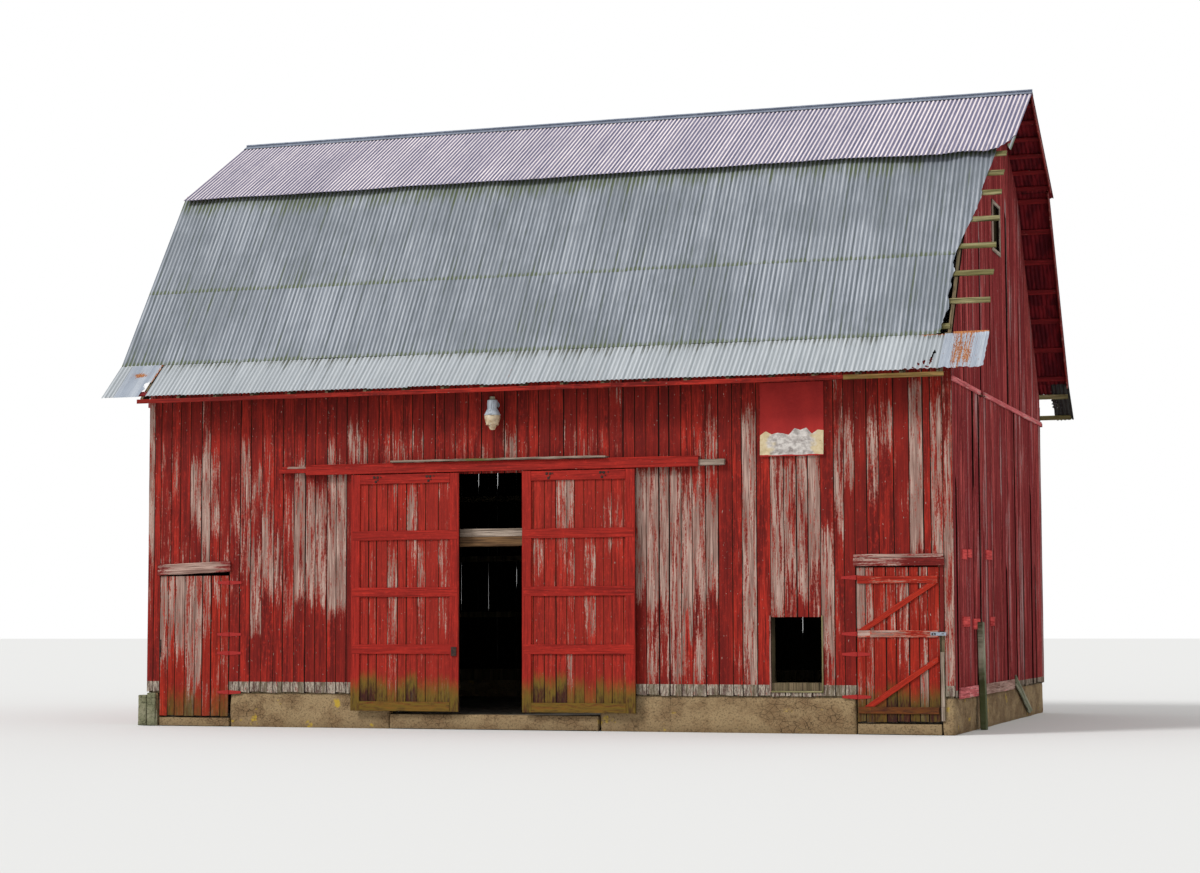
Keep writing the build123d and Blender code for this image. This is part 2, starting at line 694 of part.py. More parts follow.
def eave_fascias():
    y0 = EAVE[0] + SHEET
    top = KICK_SLOPE.height(y0, UNDER_NAILER) - JOINT_GAP
    boards = [block(FRAME_LEFT, FRAME_RIGHT, y0, y0 + FASCIA_THICK, top - FASCIA_HIGH, top)]
    save("eave_fascias", boards + other_side(boards))


def rake_boards():
    """Mitred boards on the nailers' ends; the ones at the front right are gone."""
    left = LEFT - OVERHANG_LEFT + NAILER_SHORT
    right = RIGHT + OVERHANG_RIGHT - NAILER_SHORT
    shifts = (0, UPPER_SHIFT)
    low = SHEET
    high = SHEET + RAKE_DEEP
    peak = -JOINT_GAP / 2
    steep = [STEEP_SLOPE.at(0, low), break_corner(low, JOINT_GAP), break_corner(high, JOINT_GAP),
             STEEP_SLOPE.at(0, high)]
    upper = [break_corner(low), (peak, UPPER_SLOPE.height(peak, low)), (peak, UPPER_SLOPE.height(peak, high)),
             break_corner(high)]
    near = []
    far = []
    for outline, shift in zip((steep, upper), shifts):
        near.append(along_x(outline, left - RAKE_THICK + shift, left + shift))
        far.append(along_x(outline, right + shift, right + RAKE_THICK + shift))
    save("rake_boards", near + other_side(near) + other_side(far))


# Walls

def front_wall():
    gap = BOARD_GAP
    y0, y1 = FRONT, FRAME_FRONT
    left_inner = LEFT + LEFT_DOOR_EDGE - DOOR_SIDE_GAP
    left_outer = LEFT_PIN_X + DOOR_SIDE_GAP
    right_outer = RIGHT_PIN_X - DOOR_SIDE_GAP
    right_inner = RIGHT - RIGHT_DOOR_EDGE + RIGHT_DOOR_GAP
    piers = ((LEFT, left_inner), (left_outer, JAMB_LEFT), (JAMB_RIGHT, HATCH_LEFT),
             (HATCH_RIGHT, right_outer), (right_inner, RIGHT))
    fields = [block(x0, x1, y0, y1, BOARDS_FOOT, BOARDS_TOP) for x0, x1 in piers]
    cut = ((left_inner, left_outer, LEFT_DOOR_TOP + LEFT_HEAD_GAP, BOARDS_TOP),
           (JAMB_LEFT, JAMB_RIGHT, DOORWAY_HEAD, BOARDS_TOP),
           (HATCH_LEFT, HATCH_RIGHT, HATCH_TOP, BOARDS_TOP),
           (HATCH_LEFT, HATCH_RIGHT, BOARDS_FOOT, HATCH_FOOT),
           (right_outer, right_inner, RIGHT_DOOR_TOP + RIGHT_HEAD_GAP, BOARDS_TOP))
    fields += [block(x0 + gap, x1 - gap, y0, y1, z0, z1) for x0, x1, z0, z1 in cut]
    save("front_wall", fields)


def back_wall():
    save("back_wall", [block(LEFT, RIGHT, BACK - BOARD, BACK, BOARDS_FOOT, BOARDS_TOP)])


def gable_outline():
    """Half of the gable board field above the belt joint, from the wall corner to the ridge."""
    y0 = FRAME_FRONT + BOARD_GAP
    return [(y0, BELT_JOINT + BOARD_GAP), (y0, STEEP_SLOPE.height(y0, UNDER_NAILER)),
            break_corner(UNDER_NAILER), (0, UPPER_SLOPE.height(0, UNDER_NAILER))]


def gable_walls():
    y0 = FRAME_FRONT + BOARD_GAP
    lower = block(FRAME_RIGHT, RIGHT, y0, -y0, BOARDS_FOOT, BELT_JOINT)
    half = gable_outline()
    whole = half + [(-y, z) for y, z in reversed(half[:-1])]
    field = along_x(whole, FRAME_RIGHT, RIGHT)
    gap = BOARD_GAP
    cells = ((FRONT, WINDOW_LEFT - gap, 0, RIDGE_Z), (WINDOW_RIGHT + gap, BACK, 0, RIDGE_Z),
             (WINDOW_LEFT, WINDOW_RIGHT, 0, WINDOW_FOOT), (WINDOW_LEFT, WINDOW_RIGHT, WINDOW_TOP, RIDGE_Z))
    fields = [lower] + [field & block(FRAME_RIGHT, RIGHT, a, b, low, high) for a, b, low, high in cells]
    save("right_gable_wall", fields)
    save("left_gable_wall", other_end(fields))


def gable_belts():
    """Belt boards over the joint between the gable fields."""
    x1 = RIGHT + BELT_THICK
    top = BELT_FOOT + BELT_HIGH
    right = [block(RIGHT, x1, FRONT, FRONT + BELT_BREAK_FROM, BELT_FOOT, top),
             block(RIGHT, x1, FRONT + BELT_BREAK_TO, BACK, BELT_FOOT, top)]
    left = [block(LEFT - BELT_THICK, LEFT, FRONT, BACK, BELT_FOOT, top)]
    save("gable_belts", right + left)


def window_frame():
    x1 = RIGHT + WINDOW_TRIM_THICK
    low = WINDOW_FOOT - WINDOW_TRIM
    high = WINDOW_TOP + WINDOW_TRIM
    frame = [block(RIGHT, x1, WINDOW_LEFT - WINDOW_TRIM, WINDOW_LEFT, low, high),
             block(RIGHT, x1, WINDOW_RIGHT, WINDOW_RIGHT + WINDOW_TRIM, low, high),
             block(RIGHT, x1, WINDOW_LEFT + JOINT_GAP, WINDOW_RIGHT - JOINT_GAP, low, WINDOW_FOOT),
             block(RIGHT, x1, WINDOW_LEFT + JOINT_GAP, WINDOW_RIGHT - JOINT_GAP, WINDOW_TOP, high)]
    return frame + other_end(frame)


def opening_trims():
    """Window frames, the thin trims of the small opening and the strips in the gap by the right door."""
    y0 = FRONT - HATCH_TRIM_THICK
    low = HATCH_FOOT - HATCH_TRIM
    high = HATCH_TOP + HATCH_TRIM
    trims = [block(HATCH_LEFT - HATCH_TRIM, HATCH_LEFT, y0, FRONT, low, high),
             block(HATCH_RIGHT, HATCH_RIGHT + HATCH_TRIM, y0, FRONT, low, high),
             block(HATCH_LEFT + JOINT_GAP, HATCH_RIGHT - JOINT_GAP, y0, FRONT, low, HATCH_FOOT)]
    x0 = RIGHT - RIGHT_DOOR_EDGE + JAMB_STRIP_GAP
    y1 = FRONT + FOUNDATION_SET_IN
    for z0, z1 in ((JAMB_STRIP_FOOT, JAMB_STRIP_SPLIT), (JAMB_STRIP_SPLIT + BOARD_GAP, JAMB_STRIP_TOP)):
        trims.append(block(x0, x0 + JAMB_STRIP_WIDE, y1 - JAMB_STRIP_THICK, y1, z0, z1))
    save("opening_trims", window_frame() + trims)


def door_headers():
    """A board over each side door; the left one hangs out of level."""
    y0 = FRONT - HEADER_THICK
    x0 = LEFT + LEFT_DOOR_EDGE - HEADER_SIDE
    x1 = LEFT_PIN_X + HEADER_SIDE
    z0 = LEFT_HEADER_LOW
    left = along_y([(x0, z0), (x1, z0 + LEFT_HEADER_TILT), (x1, z0 + LEFT_HEADER_TILT + LEFT_HEADER_HIGH),
                    (x0, z0 + LEFT_HEADER_HIGH)], y0, FRONT)
    right = block(RIGHT_PIN_X - HEADER_SIDE, RIGHT - RIGHT_DOOR_EDGE + RIGHT_HEADER_PAST, y0, FRONT,
                  RIGHT_HEADER_LOW, RIGHT_HEADER_LOW + RIGHT_HEADER_HIGH)
    save("door_headers", [left, right])


def patch_panel():
    """A sheet nailed over the front wall, with its lower part peeling away."""
    x0 = TRACK_RIGHT + PATCH_PAST_TRACK
    x1 = x0 + PATCH_WIDE
    flat = block(x0, x1, FRONT - PATCH_THICK, FRONT, PATCH_SPLIT + JOINT_GAP, PATCH_TOP)
    peel = along_x([(FRONT, PATCH_FOOT), (FRONT, PATCH_SPLIT), (FRONT - PATCH_THICK, PATCH_SPLIT),
                    (FRONT - PATCH_PEEL_THICK, PATCH_FOOT)], x0, x1)
    save("patch_panel", [flat, peel])


def loose_timber():
    """A plank along the boards' feet, and a post and a board that stand against the right gable."""
    x1 = RIGHT + FOOT_PLANK_THICK
    y0 = FRONT + LOOSE_POST_AT
    y1 = y0 + LOOSE_POST_DEEP
    high = FOOT_PLANK_LOW + FOOT_PLANK_HIGH
    plank = block(RIGHT, x1, FRONT + FOOT_PLANK_FROM, y0 - LOOSE_POST_GAP, FOOT_PLANK_LOW, high)
    rest = block(RIGHT, x1, y1 + LOOSE_POST_GAP, FRONT + FOOT_PLANK_TO, FOOT_PLANK_LOW, high)
    foot = RIGHT + LOOSE_POST_LEAN
    post = along_y([(foot, 0), (foot + LOOSE_POST, 0), (RIGHT + LOOSE_POST, LOOSE_POST_TOP),
                    (RIGHT, LOOSE_POST_TOP)], y0, y1)
    y = FRONT + LOOSE_BOARD_AT
    far = y + LOOSE_BOARD_REACH
    lean = along_x([(y, LOOSE_BOARD_TOP), (y, LOOSE_BOARD_TOP - LOOSE_BOARD_END_HIGH), (far, 0),
                    (far + LOOSE_BOARD_FOOT_WIDE, 0)], RIGHT, RIGHT + LOOSE_BOARD_THICK)
    save("gable_foot_timber", [plank, rest, post, lean])


# Sliding doors

def track_parts():
    """A flat steel rail on spacers, the boards that cover it and a drip strip on top of them."""
    x0 = COVER_LEFT + STUB_IN + JOINT_GAP
    x1 = COVER_RIGHT - STUB_IN - JOINT_GAP
    y = FRONT - TRACK_MIDDLE_OUT
    near = y - TRACK_THICK / 2
    far = y + TRACK_THICK / 2
    rail = block(x0, x1, near, far, TRACK_FOOT, TRACK_FOOT + TRACK_HIGH)
    step = (x1 - x0) / TRACK_SPACERS
    spacers = []
    for i in range(TRACK_SPACERS):
        x = x0 + (i + 0.5) * step
        spacers.append(block(x - TRACK_SPACER / 2, x + TRACK_SPACER / 2, far + JOINT_GAP, FRONT,
                             TRACK_FOOT, TRACK_FOOT + TRACK_SPACER))
    save("door_track", [rail] + spacers)
    top = COVER_FOOT + COVER_HIGH
    outer = FRONT - COVER_OUT - COVER_THICK
    inner = outer + COVER_THICK
    cover = [block(COVER_LEFT, COVER_RIGHT, outer, inner, COVER_FOOT, top - JOINT_GAP),
             block(COVER_LEFT, COVER_RIGHT, outer, FRONT, top, top + COVER_ROOF)]
    for a, b, (low, high) in ((TRACK_LEFT, COVER_LEFT + STUB_IN, STUB_LEFT),
                              (COVER_RIGHT - STUB_IN, TRACK_RIGHT, STUB_RIGHT)):
        cover.append(block(a, b, inner + JOINT_GAP, FRONT, COVER_FOOT + low, COVER_FOOT + high - JOINT_GAP))
    save("track_cover", cover)
    foot = top + COVER_ROOF
    strip = block(LEFT + STRIP_LEFT, LEFT + STRIP_RIGHT, outer - STRIP_OUT, FRONT, foot, foot + STRIP_HIGH)
    save("drip_strip", [strip])


def slider_frame(x0):
    """Stiles and rails nailed on the face of one sliding door."""
    x1 = x0 + SLIDER_WIDE
    face = FRONT - SLIDER_OFF_WALL - SLIDER_BOARD
    y0 = face - RAIL_THICK
    pieces = [block(x0, x0 + STILE_WIDE, y0, face, SLIDER_FOOT, SLIDER_TOP),
              block(x1 - STILE_WIDE, x1, y0, face, SLIDER_FOOT, SLIDER_TOP)]
    pitch = (SLIDER_TOP - SLIDER_FOOT - RAIL_HIGH) / (RAILS - 1)
    for i in range(RAILS):
        z = SLIDER_FOOT + i * pitch
        pieces.append(block(x0 + STILE_WIDE + JOINT_GAP, x1 - STILE_WIDE - JOINT_GAP, y0, face, z, z + RAIL_HIGH))
    return pieces


def hanger(x):
    """A strap bolted behind the top rail, with a grooved wheel that rides on the track."""
    back = FRONT - SLIDER_OFF_WALL
    axle_z = TRACK_FOOT + TRACK_HIGH + WHEEL_R - WHEEL_GROOVE + WHEEL_LIFT
    half = STRAP_WIDE / 2
    plate = block(x - half, x + half, back, back + STRAP_THICK, SLIDER_TOP - STRAP_DOWN, axle_z)
    plate = plate + Pos(x, back + STRAP_THICK / 2, axle_z) * Rot(90, 0, 0) * Cylinder(half, STRAP_THICK)
    middle = FRONT - TRACK_MIDDLE_OUT
    wheel = Pos(x, middle, axle_z) * Rot(90, 0, 0) * Cylinder(WHEEL_R, WHEEL_WIDE)
    groove = Pos(x, middle, axle_z) * Rot(90, 0, 0) * Cylinder(WHEEL_R, WHEEL_SLOT)
    core = Pos(x, middle, axle_z) * Rot(90, 0, 0) * Cylinder(WHEEL_R - WHEEL_GROOVE, WHEEL_SLOT)
    axle_end = middle + WHEEL_WIDE / 2
    axle = Pos(x, (back + axle_end) / 2, axle_z) * Rot(90, 0, 0) * Cylinder(AXLE_R, axle_end - back)
    return plate + (wheel - groove) + core + axle


def hanger_bolts(x):
    face = FRONT - SLIDER_OFF_WALL - SLIDER_BOARD - RAIL_THICK
    heads = []
    for dx, dz in ((-1, 0), (1, 0), (0, -1)):
        place = Pos(x + dx * HANGER_BOLT_APART, face - HANGER_BOLT_HIGH / 2,
                    SLIDER_TOP - HANGER_BOLT_DROP + dz * HANGER_BOLT_APART)
        head = extrude(RegularPolygon(HANGER_BOLT_R, BOLT_SIDES), amount=HANGER_BOLT_HIGH / 2, both=True)
        heads.append(place * Rot(90, 0, 0) * head)
    return heads


def sliding_door(side, x0):
    back = FRONT - SLIDER_OFF_WALL
    boards = block(x0, x0 + SLIDER_WIDE, back - SLIDER_BOARD, back, SLIDER_FOOT, SLIDER_TOP)
    save(side + "_sliding_boards", [boards])
    save(side + "_sliding_frame", slider_frame(x0))
    wheels = [hanger(x0 + at) for at in HANGERS_AT]
    heads = [head for at in HANGERS_AT for head in hanger_bolts(x0 + at)]
    save(side + "_sliding_hangers", wheels + heads)


def sliding_doors():
    left_x = DOORWAY_X - SLIDER_APART / 2 - SLIDER_WIDE
    sliding_door("left", left_x)
    sliding_door("right", DOORWAY_X + SLIDER_APART / 2)
    face = FRONT - SLIDER_OFF_WALL - SLIDER_BOARD - RAIL_THICK
    x1 = left_x + SLIDER_WIDE - (STILE_WIDE - LATCH_WIDE) / 2
    save("sliding_door_latch", [block(x1 - LATCH_WIDE, x1, face - LATCH_THICK, face, LATCH_Z, LATCH_Z + LATCH_HIGH)])


# Side doors

def knuckle(pin_x, z0, z1):
    """The rolled end of a leaf, as a prism of few sides."""
    return Pos(pin_x, PIN_Y, z0) * extrude(RegularPolygon(KNUCKLE_R, KNUCKLE_SIDES), amount=z1 - z0)


def pin(pin_x, z0, z1, radius):
    return Pos(pin_x, PIN_Y, (z0 + z1) / 2) * Cylinder(radius, z1 - z0)


def strap_outline(pin_x, way, long, z):
    """Tapered leaf outline, from near the pin out to its tip."""
    start = pin_x + way * LEAF_PIN_GAP
    tip = pin_x + way * long
    return [(start, z - HINGE_ROOT / 2), (tip, z - HINGE_TIP / 2), (tip, z + HINGE_TIP / 2),
            (start, z + HINGE_ROOT / 2)]


def tongue(pin_x, way, z0, z1):
    """The bit of a leaf that reaches its own knuckle."""
    a, b = sorted((pin_x, pin_x + way * (LEAF_PIN_GAP + HINGE_THICK)))
    return block(a, b, FRONT - HINGE_THICK, FRONT, z0, z1)


def wall_leaf(pin_x, way, z):
    """The leaf screwed to the wall, with its two knuckles and the pin."""
    leaf = along_y(strap_outline(pin_x, way, HINGE_WALL_LEAF, z), FRONT - HINGE_THICK, FRONT)
    half = KNUCKLE_HIGH / 2
    for low in (z - half - KNUCKLE_GAP - KNUCKLE_HIGH, z + half + KNUCKLE_GAP):
        leaf = leaf + knuckle(pin_x, low, low + KNUCKLE_HIGH)
        leaf = leaf + tongue(pin_x, way, low, low + KNUCKLE_HIGH)
    return leaf + pin(pin_x, z - half - KNUCKLE_GAP, z + half + KNUCKLE_GAP, PIN_R)


def door_leaf(pin_x, way, z):
    """The leaf on the door, with the middle knuckle bored for the pin."""
    leaf = along_y(strap_outline(pin_x, way, HINGE_LEAF, z), FRONT - HINGE_THICK, FRONT)
    half = KNUCKLE_HIGH / 2
    leaf = leaf + knuckle(pin_x, z - half, z + half) + tongue(pin_x, way, z - half, z + half)
    return leaf - pin(pin_x, z - KNUCKLE_HIGH, z + KNUCKLE_HIGH, PIN_R + PIN_FIT)


def batten(x0, x1, z0, z1, pin_x, way):
    """A board across a door's face, cut away behind for the hinge leaves that it covers."""
    y0 = FRONT - BATTEN_THICK
    board = block(x0, x1, y0, FRONT, z0, z1)
    for z in STRAP_HINGES:
        reach = HINGE_ROOT / 2
        if z0 - reach < z < z1 + reach:
            far = pin_x + way * (HINGE_LEAF + JOINT_GAP)
            a, b = sorted((pin_x, far))
            board = board - block(a, b, FRONT - HINGE_THICK - JOINT_GAP, FRONT,
                                  z - reach - JOINT_GAP, z + reach + JOINT_GAP)
    return board


def brace(outline):
    """A slanting board on a door's face."""
    return along_y(outline, FRONT - BATTEN_THICK, FRONT)


def right_side_door():
    x0 = RIGHT_PIN_X + DOOR_SIDE_GAP
    x1 = RIGHT - RIGHT_DOOR_EDGE
    save("right_side_door_boards", [block(x0, x1, FRONT, FRONT + DOOR_BOARD, RIGHT_DOOR_FOOT, RIGHT_DOOR_TOP)])
    a = RIGHT_PIN_X + BATTEN_PIN_GAP
    b = x1 - BATTEN_EDGE_GAP
    boards = [batten(a, b, z0, z1, RIGHT_PIN_X, 1) for z0, z1 in RIGHT_BATTENS]
    low, middle, high = RIGHT_BATTENS
    foot = low[1] + BRACE_END_GAP
    start = RIGHT_PIN_X + LOW_BRACE_IN
    braces = [brace([(start, foot), (start + BRACE_WIDE, foot), (b, LOW_BRACE_TOP - LOW_BRACE_END),
                     (b, LOW_BRACE_TOP)])]
    foot = middle[1] + BRACE_END_GAP
    head = high[0] - BRACE_END_GAP
    braces.append(brace([(a, foot), (a + BRACE_WIDE, foot), (b, head), (b - BRACE_WIDE, head)]))
    save("right_side_door_battens", boards + braces)
    save("right_side_door_straps", [door_leaf(RIGHT_PIN_X, 1, z) for z in STRAP_HINGES])
    middle_z = (middle[0] + middle[1]) / 2
    y1 = FRONT - BATTEN_THICK
    hasp = block(x1 + HASP_PAST - HASP_LONG, x1 + HASP_PAST, y1 - HASP_THICK, y1,
                 middle_z - HASP_HIGH / 2, middle_z + HASP_HIGH / 2)
    slot_x = x1 + HASP_PAST / 2
    slot = block(slot_x - HASP_SLOT_LONG / 2, slot_x + HASP_SLOT_LONG / 2, y1 - HASP_THICK, y1,
                 middle_z - HASP_SLOT_HIGH / 2, middle_z + HASP_SLOT_HIGH / 2)
    save("right_side_door_hasp", [hasp - slot])


def left_side_door():
    """The left door is made like the right one, with its battens inside."""
    x0 = LEFT + LEFT_DOOR_EDGE
    x1 = LEFT_PIN_X - DOOR_SIDE_GAP
    save("left_side_door_boards", [block(x0, x1, FRONT, FRONT + DOOR_BOARD, LEFT_DOOR_FOOT, LEFT_DOOR_TOP)])
    a = FRAME_LEFT + POST + BATTEN_EDGE_GAP
    b = x1 - BATTEN_EDGE_GAP
    y0 = FRONT + DOOR_BOARD
    save("left_side_door_battens", [block(a, b, y0, y0 + BATTEN_THICK, z0, z1) for z0, z1 in LEFT_BATTENS])
    save("left_side_door_straps", [door_leaf(LEFT_PIN_X, -1, z) for z in STRAP_HINGES])


def side_doors():
    left_side_door()
    right_side_door()
    leaves = [wall_leaf(LEFT_PIN_X, 1, z) for z in STRAP_HINGES]
    leaves += [wall_leaf(RIGHT_PIN_X, -1, z) for z in STRAP_HINGES]
    save("wall_hinge_leaves", leaves)


# Lamp

def lamp_rounds(z, rounds):
    """Upright round pieces under each other, each as (radius at its top, radius at its foot, height)."""
    shape = None
    for top_r, foot_r, high in rounds:
        lean = degrees(atan((foot_r - top_r) * cos(pi / LAMP_SIDES) / high))
        foot = Pos(0, 0, z - high) * RegularPolygon(foot_r, LAMP_SIDES)
        piece = extrude(foot, amount=high, taper=lean)
        shape = piece if shape is None else shape + piece
        z = z - high
    return Pos(DOORWAY_X + LAMP_PAST_MIDDLE, FRONT - LAMP_OUT, 0) * shape


def barn_lamp():
    """A cap, a round housing, a flared shade and a lens with a small tip."""
    body_top = LAMP_CAP_TOP - LAMP_CAP_HIGH
    lens_top = body_top - LAMP_BODY_HIGH - LAMP_SHADE_HIGH
    housing = lamp_rounds(LAMP_CAP_TOP, [(LAMP_CAP_R, LAMP_CAP_R, LAMP_CAP_HIGH),
                                         (LAMP_BODY_R, LAMP_BODY_R, LAMP_BODY_HIGH),
                                         (LAMP_BODY_R, LAMP_SHADE_R, LAMP_SHADE_HIGH)])
    x = DOORWAY_X + LAMP_PAST_MIDDLE
    arm_z = body_top - LAMP_BODY_HIGH / 2
    arm = Pos(x, FRONT - LAMP_OUT / 2, arm_z) * Rot(90, 0, 0) * Cylinder(LAMP_ARM_R, LAMP_OUT)
    plate = Pos(x, FRONT - LAMP_PLATE_THICK / 2, arm_z)
    plate = plate * Rot(90, 0, 0) * Cylinder(LAMP_PLATE_R, LAMP_PLATE_THICK)
    save("lamp_housing", [housing + arm + plate])
    save("lamp_lens", [lamp_rounds(lens_top, [(LAMP_LENS_R, LAMP_LENS_FOOT_R, LAMP_LENS_HIGH),
                                              (LAMP_TIP_TOP_R, LAMP_TIP_R, LAMP_TIP_HIGH)])])


os.makedirs("parts", exist_ok=True)
foundations()
corner_block()
sill_beams()
posts()
plates_and_ties()
girts()
doorway_cross_beam()
rafters()
rafter_tails()
purlins()
gable_studs()
nailers()
upper_sheets()
steep_sheets()
eave_sheets()
ridge_cap()
eave_fascias()
rake_boards()
front_wall()
back_wall()
gable_walls()
gable_belts()
opening_trims()
door_headers()
patch_panel()
loose_timber()
track_parts()
sliding_doors()
side_doors()
barn_lamp()
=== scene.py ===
import math

import bmesh
import bpy
import numpy as np
from mathutils import Matrix, Vector, noise


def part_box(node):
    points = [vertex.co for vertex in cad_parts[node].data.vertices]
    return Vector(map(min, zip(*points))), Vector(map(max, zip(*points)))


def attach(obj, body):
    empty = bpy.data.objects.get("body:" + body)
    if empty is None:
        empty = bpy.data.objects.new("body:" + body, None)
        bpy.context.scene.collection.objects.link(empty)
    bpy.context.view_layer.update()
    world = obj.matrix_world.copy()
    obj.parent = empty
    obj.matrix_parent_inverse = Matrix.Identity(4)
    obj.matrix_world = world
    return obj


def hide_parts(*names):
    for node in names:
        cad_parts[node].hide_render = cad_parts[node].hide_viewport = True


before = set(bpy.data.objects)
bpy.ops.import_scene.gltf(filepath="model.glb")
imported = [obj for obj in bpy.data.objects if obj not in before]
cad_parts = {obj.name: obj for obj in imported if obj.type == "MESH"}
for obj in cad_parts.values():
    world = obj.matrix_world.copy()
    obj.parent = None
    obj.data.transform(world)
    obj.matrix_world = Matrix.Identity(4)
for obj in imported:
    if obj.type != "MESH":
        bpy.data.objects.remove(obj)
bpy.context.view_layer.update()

# Camera and light
CAMERA_AT = (11.919, -36.753, 1.578)
CAMERA_YAW = math.radians(18.41)
CAMERA_PITCH = math.radians(4.32)
CAMERA_ROLL = math.radians(-0.16)
LENS = 72.53
SKY_LIGHT = 0.78
SUN_LIGHT = 1.9
SUN_FROM = (-0.75, -0.8, 0.95)

# The barn's own sizes, in metres, with X and Y from its middle
LEFT = -6.12
RIGHT = 6.12
FRONT = -4.2
BACK = 4.2
BOARD = 0.025
BOARDS_FOOT = 0.5
EAVE = (-4.669, 4.927)
KICK = (-4.068, 5.465)
BREAK = (-2.035, 8.446)
RIDGE = (0.0, 9.622)
ROOF_LEFT = -6.696
ROOF_RIGHT = 6.63
UPPER_SHIFT = 0.05
UPPER_PAST = 0.216
LAP_UP = 1.468
UNDER_NAILER = 0.043
NAILER_THICK = 0.025
NAILER_WIDE = 0.095
NAILER_DEEP = 0.018

# Roofing
WAVE = 0.0672
WAVES = 9
WAVE_HIGH = 0.0072
SHEET_MIDDLE = 0.0092
SHEET_THICK = 0.0012
SHEET_WIDE = WAVE * WAVES

RNG = np.random.default_rng(7)
X, Y, Z = np.eye(3)


# Meshes

class Build:
    """Faces and point values, gathered for one piece."""

    def __init__(self):
        self.points, self.lay, self.faces, self.mats = [], [], [], []
        self.values = {"peel": [], "grime": [], "tone": []}
        self.count = 0

    def add(self, points, faces, lay=None, mat=0, **values):
        points = np.reshape(points, (-1, 3))
        self.points.append(points)
        self.lay.append(points if lay is None else np.reshape(lay, (-1, 3)))
        self.faces.append(faces + self.count)
        self.mats.append(np.broadcast_to(mat, len(faces)))
        for key, rows in self.values.items():
            rows.append(np.broadcast_to(np.ravel(values.get(key, 0.0)), len(points)))
        self.count += len(points)

    def piece(self, name, materials, node=None, slot="barn_red_boards", body="barn", smooth=None, weld=False):
        mesh = bpy.data.meshes.new(name)
        order = sorted(range(len(self.faces)), key=lambda n: self.faces[n].shape[1])
        faces = [self.faces[n] for n in order]
        corners = np.concatenate([np.full(len(rows), rows.shape[1]) for rows in faces])
        points = np.concatenate(self.points)
        mesh.vertices.add(len(points))
        mesh.vertices.foreach_set("co", points.ravel())
        mesh.loops.add(int(corners.sum()))
        mesh.loops.foreach_set("vertex_index", np.concatenate([rows.ravel() for rows in faces]))
        mesh.polygons.add(len(corners))
        mesh.polygons.foreach_set("loop_start", np.cumsum(corners) - corners)
        mesh.polygons.foreach_set("material_index", np.concatenate([self.mats[n] for n in order]))
        for key, rows in self.values.items():
            mesh.attributes.new(key, "FLOAT", "POINT").data.foreach_set("value", np.concatenate(rows))
        lay = np.concatenate(self.lay).ravel()
        mesh.attributes.new("lay", "FLOAT_VECTOR", "POINT").data.foreach_set("vector", lay)
        mesh.update(calc_edges=True)
        mesh.validate()
        if weld:
            work = bmesh.new()
            work.from_mesh(mesh)
            bmesh.ops.remove_doubles(work, verts=work.verts, dist=0.0002)
            work.to_mesh(mesh)
            work.free()
        if smooth is None:
            mesh.shade_flat()
        else:
            mesh.shade_smooth()
            mesh.set_sharp_from_angle(angle=math.radians(smooth))
        for material in materials:
            mesh.materials.append(material)
        piece = bpy.data.objects.new(name, mesh)
        bpy.context.scene.collection.objects.link(piece)
        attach(piece, body)
        if node:
            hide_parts(node)


def wander(count, reach=1.0, knots=None):
    """Smooth random values from -reach to reach."""
    knots = knots or max(2, count // 3)
    spots = np.linspace(0, 1, knots + 1)
    return np.interp(np.linspace(0, 1, count), spots, RNG.uniform(-reach, reach, knots + 1))


def ease(low, high, value):
    t = np.clip((value - low) / (high - low), 0, 1)
    return t * t * (3 - 2 * t)


CAP_QUADS = np.array(((7, 0, 1, 2), (7, 2, 3, 6), (6, 3, 4, 5)))
LAP_CAP_QUADS = np.array(((9, 0, 1, 2), (8, 9, 2, 3), (7, 8, 3, 4), (6, 7, 4, 5)))
LAP = 0.024
LAP_DEEP = 0.011
# Grime value for a lapped board's sides, rebate and back: painted shade that turns them near black, for the
# dark in the gaps and inside the barn.
JOINT_SHADE = 3.0


def toned(tone):
    """The given tone, or one drawn for this board or sheet."""
    return RNG.uniform(-1, 1) if tone is None else tone


def section_of(wide, thick, chamfer, lap):
    """A board's outline as (across, depth); a lapped one covers the next board's rebate."""
    c = min(chamfer, wide / 4, thick / 3)
    if lap is None:
        return np.array(((c, 0), (wide - c, 0), (wide, c), (wide, thick - c), (wide - c, thick), (c, thick),
                         (0, thick - c), (0, c)))
    near, far = lap
    h = LAP_DEEP
    return np.array(((c, 0), (wide - c, 0), (wide, c), (wide, h), (wide + far, h), (wide + far, thick),
                     (near, thick), (near, h + 0.001), (0, h + 0.001), (0, c)))


def tube_quads(rings, sides):
    """Faces between rings of points that follow each other."""
    i = np.arange(rings - 1)[:, None] * sides
    k = np.arange(sides)
    after = (k + 1) % sides
    return np.stack((i + k, i + after, i + sides + after, i + sides + k), -1).reshape(-1, 4)


